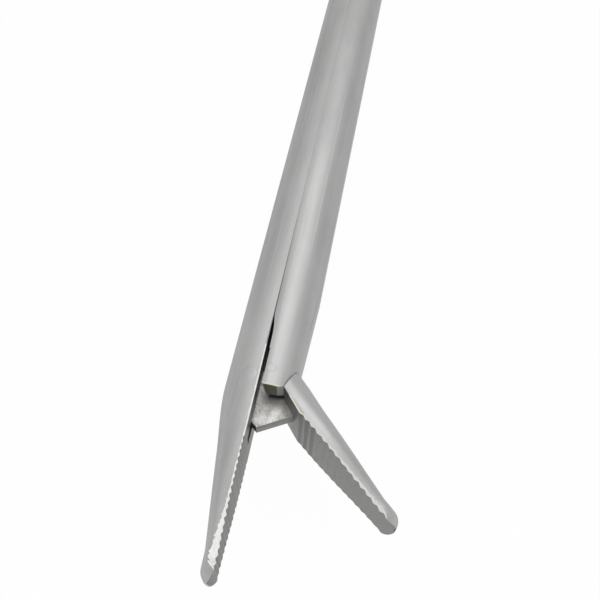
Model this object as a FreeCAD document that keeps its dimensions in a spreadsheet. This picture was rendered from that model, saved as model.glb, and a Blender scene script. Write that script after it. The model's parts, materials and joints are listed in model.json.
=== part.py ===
"""Alligator ear forceps with ring handles, lying on its side with the jaws open.

The long shaft is two half-round bars, one on the other. The lower bar carries the fixed jaw
and is riveted into the thumb handle. The upper bar slides along it, pushed by the finger
handle, and swings the other jaw. Millimetres; +X runs along the shaft to the jaws, +Y from
the fixed bar to the sliding bar, +Z up from the table. The origin is the handle pivot, on
the face that rests on the table.
"""
import FreeCAD, Part
import math
import os
import re

import Sketcher

Vector = FreeCAD.Vector

SIZES = [
    ("reach", 80.0, "handle pivot to the end face of the sliding bar, jaws open"),
    ("bar_width", 3.0, "width of both bars across the shaft"),
    ("fixed_height", 1.42, "height of the fixed bar below the seam"),
    ("slider_height", 1.78, "height of the sliding bar above the seam"),
    ("fixed_corner", 1.1, "radius of the long rounded edges of the fixed bar"),
    ("slider_corner", 1.2, "radius of the long rounded edges of the sliding bar"),
    ("seam_gap", 0.02, "running gap between the two bars and between the closed jaws"),
    ("overshoot", 1.0, "how far a cut runs on past the metal"),
    ("opening", 50.0, "angle between the open jaws, degrees"),
    ("pivot_back", 0.36, "jaw pivot behind the end face of the sliding bar"),
    ("pivot_depth", 0.44, "jaw pivot below the seam"),
    ("link_rise", 0.88, "link pin above the jaw pivot"),
    ("open_lean", 24.0, "lean of the link pin behind the jaw pivot, jaws open, degrees"),
    ("jaw_pin_radius", 0.30, "jaw pivot pin"),
    ("link_pin_radius", 0.22, "link pin"),
    ("pin_play", 0.03, "running clearance on the radius of a pin"),
    ("pin_inset", 0.03, "how far the ends of a cross pin lie below the side of the bar"),
    ("tongue_thickness", 0.60, "central tongue of the moving jaw"),
    ("fixed_slot_play", 0.05, "clearance each side of the tongue in the fixed bar"),
    ("slider_slot_play", 0.12, "clearance each side of the tongue in the sliding bar"),
    ("slot_front", 2.0, "front end of the tongue slot, ahead of the end face"),
    ("slot_rear", 1.25, "rear end of the tongue slot in the fixed bar"),
    ("slider_slot_rear", 1.65, "rear end of the tongue slot in the sliding bar"),
    ("slider_slot_roof", 1.30, "roof of the tongue slot in the sliding bar"),
    ("tongue_foot", 1.58, "front of the tongue at the seam, jaws open"),
    ("tongue_slope", 0.56, "how far the front of the tongue leans back per unit of rise"),
    ("tongue_trim", 0.03, "how far the closed tongue stays inside the back of the bar"),
    ("eye_radius", 0.72, "rounded rear of the tongue round its pivot"),
    ("arm_radius", 0.46, "rounded end of the tongue round the link pin"),
    ("arm_end_angle", 20.0, "where the rounded end and the rounded rear meet the sides, degrees"),
    ("eye_end_angle", 25.0, "where the rounded rear ends under the pivot, degrees"),
    ("arm_shoulder", 0.30, "straight front of the tongue above the link pin"),
    ("tongue_lap", 0.25, "how far the tongue runs up into the jaw at the heel"),
    ("link_slot_play", 0.01, "spare length at each end of the link slot"),
    ("bevel_start", 1.08, "height at which the end face turns into the bevel"),
    ("bevel_length", 1.20, "length of the bevel along the shaft"),
    ("bevel_top", 1.55, "height at which the bevel ends"),
    ("taper_length", 4.0, "gentle fall of the sliding bar behind its bevel"),
    ("heel_gap", 0.09, "gap between the bevel and the heel of the open jaw"),
    ("heel_spare", 0.20, "metal behind the heel before it is cut to the bevel"),
    ("relief_length", 2.4, "length over which the sliding bar lifts off the fixed bar"),
    ("relief_height", 0.21, "how far it has lifted at its end face"),
    ("jaw_length", 7.78, "fixed jaw ahead of the end face of the sliding bar"),
    ("jaw_middle", 3.0, "station where the height of the jaws is set"),
    ("heel_height", 1.46, "height of the moving jaw at its heel"),
    ("middle_height", 1.03, "height of a jaw at the middle station"),
    ("tip_height", 0.55, "height of a jaw at its nose"),
    ("middle_width", 3.12, "width of a jaw at the middle station"),
    ("tip_width", 2.1, "width of a jaw at its nose"),
    ("middle_corner", 0.80, "radius of the rounded edges at the middle station"),
    ("tip_corner", 0.38, "radius of the rounded edges at the nose"),
    ("nose_round", 0.42, "side radius of the nose"),
    ("tooth_start", 2.25, "first groove of the serrations, ahead of the end face"),
    ("tooth_pitch", 0.42, "distance between grooves"),
    ("tooth_depth", 0.09, "depth of a groove"),
    ("tooth_count", 12, "number of grooves in a jaw"),
    ("arm_length", 4.0, "handle pivot to the drive pin"),
    ("drive_height", 0.9, "drive pin above the seam"),
    ("drive_pin_radius", 0.5, "drive pin"),
    ("drive_play", 0.05, "running clearance on the radius of the drive pin"),
    ("drive_rise", 0.01, "drive hole beyond the arm's length, because the pin runs straight"),
    ("slider_tail", 2.2, "sliding bar behind the drive pin"),
    ("fork_gap", 1.3, "slot in the tail of the sliding bar"),
    ("fork_depth", 1.3, "slot ahead of the drive pin"),
    ("stud_radius", 0.45, "shank of a guide stud"),
    ("stud_head_radius", 0.85, "head of a guide stud"),
    ("stud_head_seat", 0.80, "seat of the head below the seam"),
    ("stud_head_height", 0.40, "thickness of the head"),
    ("stud_root", 0.70, "how deep a stud is set in the sliding bar"),
    ("stud_play", 0.06, "clearance round a guide stud"),
    ("front_stud", 30.0, "front guide stud behind the end face, jaws open"),
    ("rear_stud", 62.0, "rear guide stud behind the end face, jaws open"),
    ("handle_thickness", 5.0, "thickness of the pivot box and of the rings"),
    ("box_radius", 5.0, "rounded underside of the pivot box"),
    ("box_front", 14.5, "front of the pivot box ahead of the pivot"),
    ("box_lip", 0.35, "metal under the fixed bar at the front of the box"),
    ("box_side_angle", 35.0, "where the round underside ends, degrees"),
    ("box_sweep", 24.0, "radius of the sweep from the underside to the lip"),
    ("box_top_gap", 0.05, "top of the box below the seam"),
    ("tang_start", 4.0, "rear end of the fixed bar ahead of the pivot"),
    ("seat_gap", 0.02, "gap round the fixed bar in its seat"),
    ("rivet_radius", 0.55, "rivets through the seat"),
    ("rivet_first", 6.4, "first rivet ahead of the pivot"),
    ("rivet_spacing", 5.4, "distance between the rivets"),
    ("rivet_drop", 0.75, "rivets below the seam"),
    ("lever_thickness", 2.4, "finger handle inside the box"),
    ("lever_play", 0.06, "clearance each side of the finger handle in the box"),
    ("boss_radius", 2.8, "boss of the finger handle round its pivot"),
    ("boss_play", 0.4, "space round the boss"),
    ("arm_thickness", 1.15, "thin upper end of the finger handle"),
    ("arm_end_radius", 0.80, "half width of the finger handle at its drive hole"),
    ("arm_end_rise", 0.75, "upper end of the finger handle beyond the drive hole"),
    ("arm_end_flat", 0.27, "half width of its flat upper end"),
    ("arm_foot", 1.7, "half width of the arm where it leaves the boss"),
    ("screw_radius", 1.4, "shank of the pivot screw"),
    ("thread_radius", 1.15, "threaded end of the pivot screw"),
    ("screw_head_radius", 2.3, "head of the pivot screw"),
    ("screw_head_height", 0.75, "thickness of the head"),
    ("head_play", 0.06, "clearance round the head in its recess"),
    ("screw_slot_width", 0.6, "driver slot"),
    ("screw_slot_depth", 0.4, "driver slot"),
    ("channel_flare", 0.6, "how much wider the lever channel is behind the pivot"),
    ("channel_rear", 3.4, "how much further back the channel reaches under the box"),
    ("channel_front", 0.4, "how much further forward it reaches under the box"),
    ("channel_below", 2.2, "how far the channel runs on below the box"),
    ("web_width", 4.3, "flat neck of the finger handle between boss and shank"),
    ("web_taper", 0.2, "how much the neck narrows on each side"),
    ("web_overlap", 2.0, "how far the neck runs into the shank"),
    ("shank_start", 9.2, "pivot to the full shank of the finger handle"),
    ("shank_width", 4.3, "shank next to the box"),
    ("shank_thickness", 4.6, "shank next to the box"),
    ("waist_width", 3.4, "shank at its middle"),
    ("waist_thickness", 3.9, "shank at its middle"),
    ("shoulder_extra_width", 0.4, "how much wider a shank is above its waist"),
    ("shoulder_extra_thickness", 0.3, "how much thicker a shank is above its waist"),
    ("shoulder_share", 0.35, "place of the shoulder along a shank"),
    ("waist_share", 0.70, "place of the waist along a shank"),
    ("bow_share", 0.85, "share of the bow that the shoulder and the waist have"),
    ("ring_root_step", 0.6, "how much thinner the shank is than its ring where they join"),
    ("shank_corner", 1.55, "rounded edges of the shanks"),
    ("ring_bore", 9.5, "inner radius of both rings"),
    ("ring_wall", 3.0, "ring section across"),
    ("ring_edge", 1.45, "rounded edges of the ring section"),
    ("thumb_root", 2.6, "start of the thumb shank, from the pivot"),
    ("thumb_reach", 50.0, "pivot to the centre of the thumb ring"),
    ("thumb_angle", 25.0, "thumb ring below the shaft line, degrees"),
    ("finger_reach", 48.0, "pivot to the centre of the finger ring"),
    ("finger_angle", 66.0, "finger ring below the shaft line at mid stroke, degrees"),
    ("shank_bow", 2.2, "how far the middle of a shank bows outwards"),
]

doc = FreeCAD.newDocument("ear_forceps")
sheet = doc.addObject("Spreadsheet::Sheet", "dims")
for row, (alias, value, note) in enumerate(SIZES, start=1):
    sheet.set(f"A{row}", note)
    sheet.set(f"B{row}", str(value))
    sheet.setAlias(f"B{row}", alias)
doc.recompute()
ALIASES = {alias for alias, _, _ in SIZES}

# Sizes that follow from the ones above, written as expressions of the sheet's names.
CLOSED_LEAN = "(opening - open_lean)"
TRAVEL = f"(link_rise * (tan(open_lean) + tan{CLOSED_LEAN}))"
SWING = f"(2 * atan({TRAVEL} / (2 * arm_length)))"
SEAM = "(arm_length - drive_height)"
MIDDLE = "(handle_thickness / 2)"
SLOT_HALF = "(tongue_thickness / 2 + fixed_slot_play)"
SLIDER_SLOT_HALF = "(tongue_thickness / 2 + slider_slot_play)"
PIVOT_X = "(-pivot_back)"
LINK_X = "(-pivot_back - link_rise * tan(open_lean))"
LINK_Y = "(link_rise - pivot_depth)"
RING_CENTRE = "(ring_bore + ring_wall / 2)"


def bound(expression):
    """The expression with each size read from the sheet."""
    return re.sub(r"[a-z_]+", lambda m: "dims." + m[0] if m[0] in ALIASES else m[0], expression)


def number(expression):
    """The value of an expression now."""
    result = sheet.evalExpression(expression)
    return float(getattr(result, "Value", result))


def tie(item, prop, expression):
    """Binds one property of an object to an expression of the sheet."""
    item.setExpression(prop, bound(expression))


def new_body(label):
    body = doc.addObject("PartDesign::Body", label)
    body.Label = label
    return body


def new_sketch(body, plane, normal_offset="0", name="outline"):
    """An empty sketch on one of the body's own origin planes, moved along its normal."""
    sketch = body.newObject("Sketcher::SketchObject", f"{body.Label}_{name}")
    support = next(f for f in body.Origin.OriginFeatures if f.Role == plane)
    sketch.AttachmentSupport = [(support, "")]
    sketch.MapMode = "FlatFace"
    if normal_offset != "0":
        tie(sketch, "AttachmentOffset.Base.z", normal_offset)
    return sketch


def pin_point(sketch, geometry, end, x, y):
    """Ties one end of a sketch line or arc to two expressions."""
    for kind, expression in (("DistanceX", x), ("DistanceY", y)):
        constraint = Sketcher.Constraint(kind, -1, 1, geometry, end, number(expression))
        index = sketch.addConstraint(constraint)
        tie(sketch, f"Constraints[{index}]", expression)


def arc_between(start, finish, radius, turn):
    """An arc under half a turn; turn is 1 where it bends left on its way, -1 where right."""
    chord = finish - start
    height = math.sqrt(max(radius ** 2 - (chord.Length / 2) ** 2, 0.0))
    left = Vector(-chord.y, chord.x, 0).normalize()
    centre = start + chord * 0.5 + left * height * turn
    first, last = (start, finish) if turn > 0 else (finish, start)
    angles = [math.atan2(p.y - centre.y, p.x - centre.x) for p in (first, last)]
    if angles[1] < angles[0]:
        angles[1] += 2 * math.pi
    return Part.ArcOfCircle(Part.Circle(centre, Vector(0, 0, 1), radius), *angles)


def draw(sketch, corners):
    """A closed outline. A corner is (x, y), or (x, y, radius, turn) where an arc leaves it."""
    points = [Vector(number(c[0]), number(c[1]), 0) for c in corners]
    ends = []
    first = sketch.GeometryCount
    for i, corner in enumerate(corners):
        start, finish = points[i], points[(i + 1) % len(points)]
        if len(corner) == 2:
            sketch.addGeometry(Part.LineSegment(start, finish), False)
            ends.append((1, 2))
        else:
            turn = corner[3]
            sketch.addGeometry(arc_between(start, finish, number(corner[2]), turn), False)
            ends.append((1, 2) if turn > 0 else (2, 1))
    for i, corner in enumerate(corners):
        after = (i + 1) % len(corners)
        joint = Sketcher.Constraint("Coincident", first + i, ends[i][1],
                                    first + after, ends[after][0])
        sketch.addConstraint(joint)
    for i, corner in enumerate(corners):
        pin_point(sketch, first + i, ends[i][0], corner[0], corner[1])
        if len(corner) == 4:
            radius = Sketcher.Constraint("Radius", first + i, number(corner[2]))
            tie(sketch, f"Constraints[{sketch.addConstraint(radius)}]", corner[2])


def draw_circle(sketch, x, y, radius):
    circle = Part.Circle(Vector(number(x), number(y), 0), Vector(0, 0, 1), number(radius))
    index = sketch.addGeometry(circle, False)
    pin_point(sketch, index, 3, x, y)
    size = Sketcher.Constraint("Radius", index, number(radius))
    tie(sketch, f"Constraints[{sketch.addConstraint(size)}]", radius)


def half_round(sketch, side, height, width, corner, base="0"):
    """Half of the shaft's section: flat on the seam, rounded outside. side is 1 or -1."""
    out = f"({base} + {side} * ({height}))"
    shoulder = f"({base} + {side} * ({height} - {corner}))"
    edge = f"({width}) / 2"
    flat = f"({width}) / 2 - ({corner})"
    draw(sketch, [
        (base, f"-({edge})"),
        (shoulder, f"-({edge})", corner, side),
        (out, f"-({flat})"),
        (out, flat, corner, side),
        (shoulder, edge),
        (base, edge),
    ])


def rounded_bar(sketch, width, thickness, corner, x="0"):
    """The section of a shank or a ring: a rectangle with rounded corners."""
    w, t = f"(({width}) / 2)", f"(({thickness}) / 2)"
    draw(sketch, [
        (f"{x} - {w} + {corner}", f"-{t}"),
        (f"{x} + {w} - {corner}", f"-{t}", corner, 1),
        (f"{x} + {w}", f"-{t} + {corner}"),
        (f"{x} + {w}", f"{t} - {corner}", corner, 1),
        (f"{x} + {w} - {corner}", t),
        (f"{x} - {w} + {corner}", t, corner, 1),
        (f"{x} - {w}", f"{t} - {corner}"),
        (f"{x} - {w}", f"-{t} + {corner}", corner, 1),
    ])


def long_slot(sketch, near, far, half):
    """A slot along X with round ends, between two centres on the axis."""
    draw(sketch, [
        (near, half, half, 1),
        (f"{near} - {half}", "0", half, 1),
        (near, f"-{half}"),
        (far, f"-{half}", half, 1),
        (f"{far} + {half}", "0", half, 1),
        (far, half),
    ])


def pad(body, sketch, length, both_ways=False, backwards=False):
    feature = body.newObject("PartDesign::Pad", sketch.Name + "_pad")
    feature.Profile = sketch
    tie(feature, "Length", length)
    feature.Midplane = both_ways
    feature.Reversed = backwards
    sketch.Visibility = False
    doc.recompute()
    return feature


def pocket(body, sketch, length=None, both_ways=False, backwards=False):
    """Cuts a sketch out of the body: right through without a length. It must remove metal."""
    before = body.Shape.Volume
    feature = body.newObject("PartDesign::Pocket", sketch.Name + "_pocket")
    feature.Profile = sketch
    feature.Midplane = both_ways
    feature.Reversed = backwards
    if length is None:
        feature.Type = "ThroughAll"
    else:
        tie(feature, "Length", length)
    doc.recompute()
    if not body.Shape.Volume < before - 1e-6:
        raise RuntimeError(f"{feature.Name} cuts nothing")
    return feature


def loft(body, sketches, straight):
    feature = body.newObject("PartDesign::AdditiveLoft", sketches[0].Name + "_loft")
    feature.Profile = sketches[0]
    feature.Sections = sketches[1:]
    feature.Ruled = straight
    doc.recompute()
    return feature


def repeat_along_x(body, feature, sketch, count, pitch):
    """Repeats a cut along the body's X axis."""
    pattern = body.newObject("PartDesign::LinearPattern", sketch.Name + "_row")
    pattern.Originals = [feature]
    pattern.Direction = (sketch, ["H_Axis"])
    tie(pattern, "Occurrences", count)
    pattern.Mode = "Spacing"
    tie(pattern, "Offset", pitch)
    body.Tip = pattern
    doc.recompute()
    return pattern


def place(item, x, y, z, turn=None):
    """Ties the placement of a piece to expressions; turn is about +Z in degrees."""
    tie(item, "Placement.Base.x", x)
    tie(item, "Placement.Base.y", y)
    tie(item, "Placement.Base.z", z)
    if turn is not None:
        item.Placement.Rotation = FreeCAD.Rotation(Vector(0, 0, 1), number(turn))
        tie(item, "Placement.Rotation.Angle", turn)


def jaw_sections(body, side, base, start, heel, origin):
    """Lofts one jaw from its root to its nose. origin is where the end face lies on X."""
    nose = f"({origin} + jaw_length - tip_width / 2)"
    stations = [
        (start, heel, "bar_width", "fixed_corner" if side < 0 else "slider_corner"),
        (f"{origin} + jaw_middle", "middle_height", "middle_width", "middle_corner"),
        (nose, "tip_height", "tip_width", "tip_corner"),
        (f"{origin} + jaw_length", "tip_height", "tip_width", "tip_corner"),
    ]
    sections = []
    for index, (along, height, width, corner) in enumerate(stations):
        section = new_sketch(body, "YZ_Plane", along, f"station_{index + 1}")
        half_round(section, side, height, width, corner, base)
        sections.append(section)
    loft(body, sections, straight=True)


def finish_jaw(body, side, base, origin):
    """Rounds the nose from above and from the side, then cuts the serrations."""
    end = f"({origin} + jaw_length)"
    plan = new_sketch(body, "XZ_Plane", name="nose_plan")
    radius = "(tip_width / 2)"
    draw(plan, [
        (f"{end} - {radius}", f"-{radius}", radius, 1),
        (end, "0", radius, 1),
        (f"{end} - {radius}", radius),
        (f"{end} - {radius}", "bar_width"),
        (f"{end} + overshoot", "bar_width"),
        (f"{end} + overshoot", "-bar_width"),
        (f"{end} - {radius}", "-bar_width"),
    ])
    pocket(body, plan, both_ways=True)
    profile = new_sketch(body, "XY_Plane", name="nose_side")
    out = f"({base} + {side} * tip_height)"
    land = f"({base} + {side} * (tip_height - nose_round))"
    beyond = f"({base} + {side} * (tip_height + overshoot))"
    draw(profile, [
        (f"{end} - nose_round", out, "nose_round", -side),
        (end, land),
        (f"{end} + overshoot", land),
        (f"{end} + overshoot", beyond),
        (f"{end} - nose_round", beyond),
    ])
    pocket(body, profile, both_ways=True)
    groove = new_sketch(body, "XY_Plane", name="groove")
    first = f"({origin} + tooth_start)"
    half = "(tooth_pitch / 2)"
    overcut = f"({base} - {side} * tooth_depth / 4)"
    draw(groove, [
        (f"{first} - {half}", base),
        (f"{first} - {half}", overcut),
        (f"{first} + {half}", overcut),
        (f"{first} + {half}", base),
        (first, f"{base} + {side} * tooth_depth"),
    ])
    cut = pocket(body, groove, both_ways=True)
    repeat_along_x(body, cut, groove, "tooth_count", "tooth_pitch")


def make_fixed_bar():
    """The lower bar with the fixed jaw in one piece, from the handle seat to the nose."""
    body = new_body("fixed_bar")
    rear = "(reach - tang_start)"
    blank = new_sketch(body, "YZ_Plane", name="section")
    half_round(blank, -1, "fixed_height", "bar_width", "fixed_corner")
    pad(body, blank, rear, backwards=True)
    jaw_sections(body, -1, "0", "0", "fixed_height", "0")
    finish_jaw(body, -1, "0", "0")

    slot = new_sketch(body, "XZ_Plane", name="tongue_slot")
    draw(slot, [
        ("-slot_rear", f"-{SLOT_HALF}"),
        ("slot_front", f"-{SLOT_HALF}"),
        ("slot_front", SLOT_HALF),
        ("-slot_rear", SLOT_HALF),
    ])
    pocket(body, slot, both_ways=True)

    holes = new_sketch(body, "XY_Plane", name="pin_holes")
    draw_circle(holes, PIVOT_X, "-pivot_depth", "jaw_pin_radius")
    for index in (0, 1):
        along = f"(tang_start - reach) + (rivet_first - tang_start) + {index} * rivet_spacing"
        draw_circle(holes, along, "-rivet_drop", "rivet_radius")
    pocket(body, holes, both_ways=True)

    for name, behind in (("front", "front_stud"), ("rear", "rear_stud")):
        near, far = f"(-{behind})", f"(-{behind} + {TRAVEL})"
        shank = new_sketch(body, "XZ_Plane", name=f"{name}_stud_slot")
        long_slot(shank, near, far, "(stud_radius + stud_play)")
        pocket(body, shank, both_ways=True)
        head = new_sketch(body, "XZ_Plane", "(stud_head_seat - stud_play / 2)", f"{name}_head_slot")
        long_slot(head, near, far, "(stud_head_radius + stud_play)")
        pocket(body, head, "fixed_height", backwards=True)
    place(body, "reach", SEAM, MIDDLE)
    return body


def make_sliding_bar():
    """The upper bar: beveled and slotted at the front, forked at the tail."""
    body = new_body("sliding_bar")
    tail = f"(reach + {TRAVEL} / 2 + slider_tail)"
    section = new_sketch(body, "YZ_Plane", name="section")
    half_round(section, 1, "slider_height - seam_gap", "bar_width", "slider_corner", "seam_gap")
    pad(body, section, tail, backwards=True)

    relief = new_sketch(body, "XY_Plane", name="relief")
    draw(relief, [
        ("-relief_length", "seam_gap"),
        ("-relief_length", "-bar_width"),
        ("overshoot", "-bar_width"),
        ("overshoot", "relief_height"),
        ("0", "relief_height"),
    ])
    pocket(body, relief, both_ways=True)

    bevel = new_sketch(body, "XY_Plane", name="bevel")
    draw(bevel, [
        ("overshoot", "bevel_start"),
        ("overshoot", "slider_height + overshoot"),
        ("-bevel_length - taper_length", "slider_height + overshoot"),
        ("-bevel_length - taper_length", "slider_height"),
        ("-bevel_length", "bevel_top"),
        ("0", "bevel_start"),
    ])
    pocket(body, bevel, both_ways=True)

    slot = new_sketch(body, "XZ_Plane", name="tongue_slot")
    draw(slot, [
        ("-slider_slot_rear", f"-{SLIDER_SLOT_HALF}"),
        ("overshoot", f"-{SLIDER_SLOT_HALF}"),
        ("overshoot", SLIDER_SLOT_HALF),
        ("-slider_slot_rear", SLIDER_SLOT_HALF),
    ])
    pocket(body, slot, "slider_slot_roof")

    fork = new_sketch(body, "XZ_Plane", name="fork")
    drive = f"(-reach - {TRAVEL} / 2)"
    draw(fork, [
        (f"{drive} - slider_tail - overshoot", "-fork_gap / 2"),
        (f"{drive} + fork_depth", "-fork_gap / 2"),
        (f"{drive} + fork_depth", "fork_gap / 2"),
        (f"{drive} - slider_tail - overshoot", "fork_gap / 2"),
    ])
    pocket(body, fork, both_ways=True)

    holes = new_sketch(body, "XY_Plane", name="pin_holes")
    draw_circle(holes, LINK_X, LINK_Y, "link_pin_radius")
    draw_circle(holes, drive, "drive_height", "drive_pin_radius")
    pocket(body, holes, both_ways=True)

    studs = new_sketch(body, "XZ_Plane", name="stud_holes")
    draw_circle(studs, "-front_stud", "0", "stud_radius")
    draw_circle(studs, "-rear_stud", "0", "stud_radius")
    pocket(body, studs, "stud_root")
    place(body, "reach", SEAM, MIDDLE)
    return body


def turned(x, y):
    """A point of the open jaw, given from the end face and the seam, in the closed jaw's frame."""
    dx, dy = f"({x} + pivot_back)", f"({y} + pivot_depth)"
    return (f"({dx} * cos(opening) + {dy} * sin(opening))",
            f"({dy} * cos(opening) - {dx} * sin(opening))")


def make_moving_jaw():
    """The swinging jaw with its tongue. Its own frame is the closed jaw, origin at the pivot."""
    body = new_body("moving_jaw")
    face = "(pivot_depth + seam_gap)"
    heel = turned("0", "bevel_start + heel_gap")
    crown = turned("-bevel_length", "bevel_top + heel_gap")
    root = f"({crown[0]} - heel_spare)"
    jaw_sections(body, 1, face, root, "heel_height - seam_gap", "pivot_back")

    cut = new_sketch(body, "XY_Plane", name="heel_cut")
    rise = "(heel_height + pivot_depth + overshoot)"
    run = f"({crown[0]} - {heel[0]}) / ({crown[1]} - {heel[1]})"
    beyond = f"({crown[0]} + {run} * ({rise} - {crown[1]}))"
    draw(cut, [
        ("pivot_back + tooth_start - tooth_pitch / 2", face),
        heel,
        (beyond, rise),
        (f"{root} - overshoot", rise),
        (f"{root} - overshoot", "0"),
        ("pivot_back + tooth_start - tooth_pitch / 2", "0"),
    ])
    pocket(body, cut, both_ways=True)
    finish_jaw(body, 1, face, "pivot_back")

    # The tongue's front edge passes through the foot and leans back; the closed tongue is
    # trimmed level with the back of the fixed bar.
    upper = turned("tongue_foot - tongue_slope * slider_height", "slider_height")
    foot = turned("tongue_foot", "0")
    floor = "(pivot_depth - fixed_height + tongue_trim)"
    lean = f"(({upper[0]} - {foot[0]}) / ({upper[1]} - {foot[1]}))"
    top = "(pivot_depth + seam_gap + tooth_depth)"
    link = ("(link_rise * tan(opening - open_lean))", "link_rise")
    tongue = new_sketch(body, "XY_Plane", name="tongue")
    draw(tongue, [
        (f"{foot[0]} + {lean} * ({floor} - {foot[1]})", floor),
        (f"{foot[0]} + {lean} * ({top} - {foot[1]})", top),
        (f"{heel[0]} + tongue_lap", f"{heel[1]} + tongue_lap"),
        (f"{link[0]} + arm_radius", f"{link[1]} + arm_shoulder"),
        (f"{link[0]} + arm_radius * sin(arm_end_angle)", f"{link[1]} + arm_radius * cos(arm_end_angle)",
         "arm_radius", 1),
        (f"{link[0]} - arm_radius * cos(arm_end_angle)", f"{link[1]} + arm_radius * sin(arm_end_angle)"),
        ("-eye_radius * cos(arm_end_angle)", "eye_radius * sin(arm_end_angle)", "eye_radius", 1),
        ("-eye_radius * sin(eye_end_angle)", "-eye_radius * cos(eye_end_angle)"),
        ("eye_radius", floor),
    ])
    pad(body, tongue, "tongue_thickness", both_ways=True)

    holes = new_sketch(body, "XY_Plane", name="pin_holes")
    draw_circle(holes, "0", "0", "jaw_pin_radius + pin_play")
    pocket(body, holes, both_ways=True)
    link_slot = new_sketch(body, "XY_Plane", name="link_slot")
    lean_closed = "(90 - opening + open_lean)"
    near = "(link_rise - link_slot_play)"
    far = "(link_rise / cos(opening - open_lean) + link_slot_play)"
    half = "(link_pin_radius + pin_play)"
    along = (f"cos{lean_closed}", f"sin{lean_closed}")
    draw(link_slot, [
        (f"{near} * {along[0]} + {half} * {along[1]}", f"{near} * {along[1]} - {half} * {along[0]}"),
        (f"{far} * {along[0]} + {half} * {along[1]}", f"{far} * {along[1]} - {half} * {along[0]}",
         half, 1),
        (f"({far} + {half}) * {along[0]}", f"({far} + {half}) * {along[1]}", half, 1),
        (f"{far} * {along[0]} - {half} * {along[1]}", f"{far} * {along[1]} + {half} * {along[0]}"),
        (f"{near} * {along[0]} - {half} * {along[1]}", f"{near} * {along[1]} + {half} * {along[0]}",
         half, 1),
        (f"({near} - {half}) * {along[0]}", f"({near} - {half}) * {along[1]}", half, 1),
    ])
    pocket(body, link_slot, both_ways=True)
    place(body, "reach - pivot_back", f"{SEAM} - pivot_depth", MIDDLE, "opening")
    return body


def cross_pin(label, radius, length, x, y):
    """A plain pin along Z, centred on the middle plane."""
    pin = doc.addObject("Part::Cylinder", label)
    pin.Label = label
    tie(pin, "Radius", radius)
    tie(pin, "Height", length)
    place(pin, x, y, f"{MIDDLE} - ({length}) / 2")
    return pin


def make_pins():
    """The pins of the jaw and of the drive, filed flush with the sides of the bars."""
    flush = "(bar_width - 2 * pin_inset)"
    cross_pin("jaw_pivot_pin", "jaw_pin_radius", flush, f"reach + {PIVOT_X}", f"{SEAM} - pivot_depth")
    cross_pin("jaw_link_pin", "link_pin_radius", flush, f"reach + {LINK_X}", f"{SEAM} + {LINK_Y}")
    cross_pin("slider_drive_pin", "drive_pin_radius", flush, f"-{TRAVEL} / 2", f"{SEAM} + drive_height")


def make_guide_stud(label, behind):
    """A headed stud that is set in the sliding bar and runs in a slot of the fixed bar."""
    body = new_body(label)
    side = new_sketch(body, "XY_Plane", name="half_profile")
    draw(side, [
        ("0", "stud_root"),
        ("0", "-stud_head_seat - stud_head_height"),
        ("stud_head_radius", "-stud_head_seat - stud_head_height"),
        ("stud_head_radius", "-stud_head_seat"),
        ("stud_radius", "-stud_head_seat"),
        ("stud_radius", "stud_root"),
    ])
    turn = body.newObject("PartDesign::Revolution", f"{label}_turned")
    turn.Profile = side
    turn.ReferenceAxis = (side, ["V_Axis"])
    turn.Angle = 360
    doc.recompute()
    place(body, f"reach - {behind}", SEAM, MIDDLE)
    return body


def make_ring_and_shank(body, stations, ring_x, ring_y):
    """A shank lofted along its stations, and the finger ring at its end."""
    sections = []
    for index, (x, y, heading, width, thickness) in enumerate(stations):
        section = new_sketch(body, "XZ_Plane", name=f"shank_{index + 1}")
        tie(section, "AttachmentOffset.Base.x", x)
        tie(section, "AttachmentOffset.Base.z", f"-({y})")
        section.AttachmentOffset.Rotation = FreeCAD.Rotation(Vector(0, 1, 0), number(f"{heading} - 90"))
        tie(section, "AttachmentOffset.Rotation.Angle", f"{heading} - 90")
        rounded_bar(section, width, thickness, "shank_corner")
        sections.append(section)
    loft(body, sections, straight=False)
    ring = new_sketch(body, "XZ_Plane", f"-({ring_y})", "ring")
    rounded_bar(ring, "ring_wall", "handle_thickness", "ring_edge", f"({ring_x} + {RING_CENTRE})")
    axis = ring.addGeometry(Part.LineSegment(Vector(number(ring_x), -1, 0),
                                             Vector(number(ring_x), 1, 0)), True)
    pin_point(ring, axis, 1, ring_x, "-1")
    pin_point(ring, axis, 2, ring_x, "1")
    turn = body.newObject("PartDesign::Revolution", f"{body.Label}_ring_turned")
    turn.Profile = ring
    turn.ReferenceAxis = (ring, ["Axis0"])
    turn.Angle = 360
    doc.recompute()


def shank_stations(root, root_size, reach, angle, bow):
    """Four stations from the root to the ring on a gentle bow, with the heading at each."""
    stations = []
    end = f"({reach} - {RING_CENTRE})"
    shoulder = ("waist_width + shoulder_extra_width", "waist_thickness + shoulder_extra_thickness")
    for share, lift, turn, (width, thickness) in (
            ("0", "0", 1, root_size),
            ("shoulder_share", "bow_share", 0.35, shoulder),
            ("waist_share", "bow_share", -0.5, ("waist_width", "waist_thickness")),
            ("1", "0", -1.2, ("waist_width", "handle_thickness - ring_root_step"))):
        along = f"({root} + {share} * ({end} - {root}))"
        off = f"({bow} * {lift})"
        x = f"(-{along} * cos({angle}) + {off} * sin({angle}))"
        y = f"(-{along} * sin({angle}) - {off} * cos({angle}))"
        heading = f"({angle} + {turn} * 4 * atan({bow} / ({end} - {root})) / 1deg)"
        stations.append((x, y, heading, width, thickness))
    return stations


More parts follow.
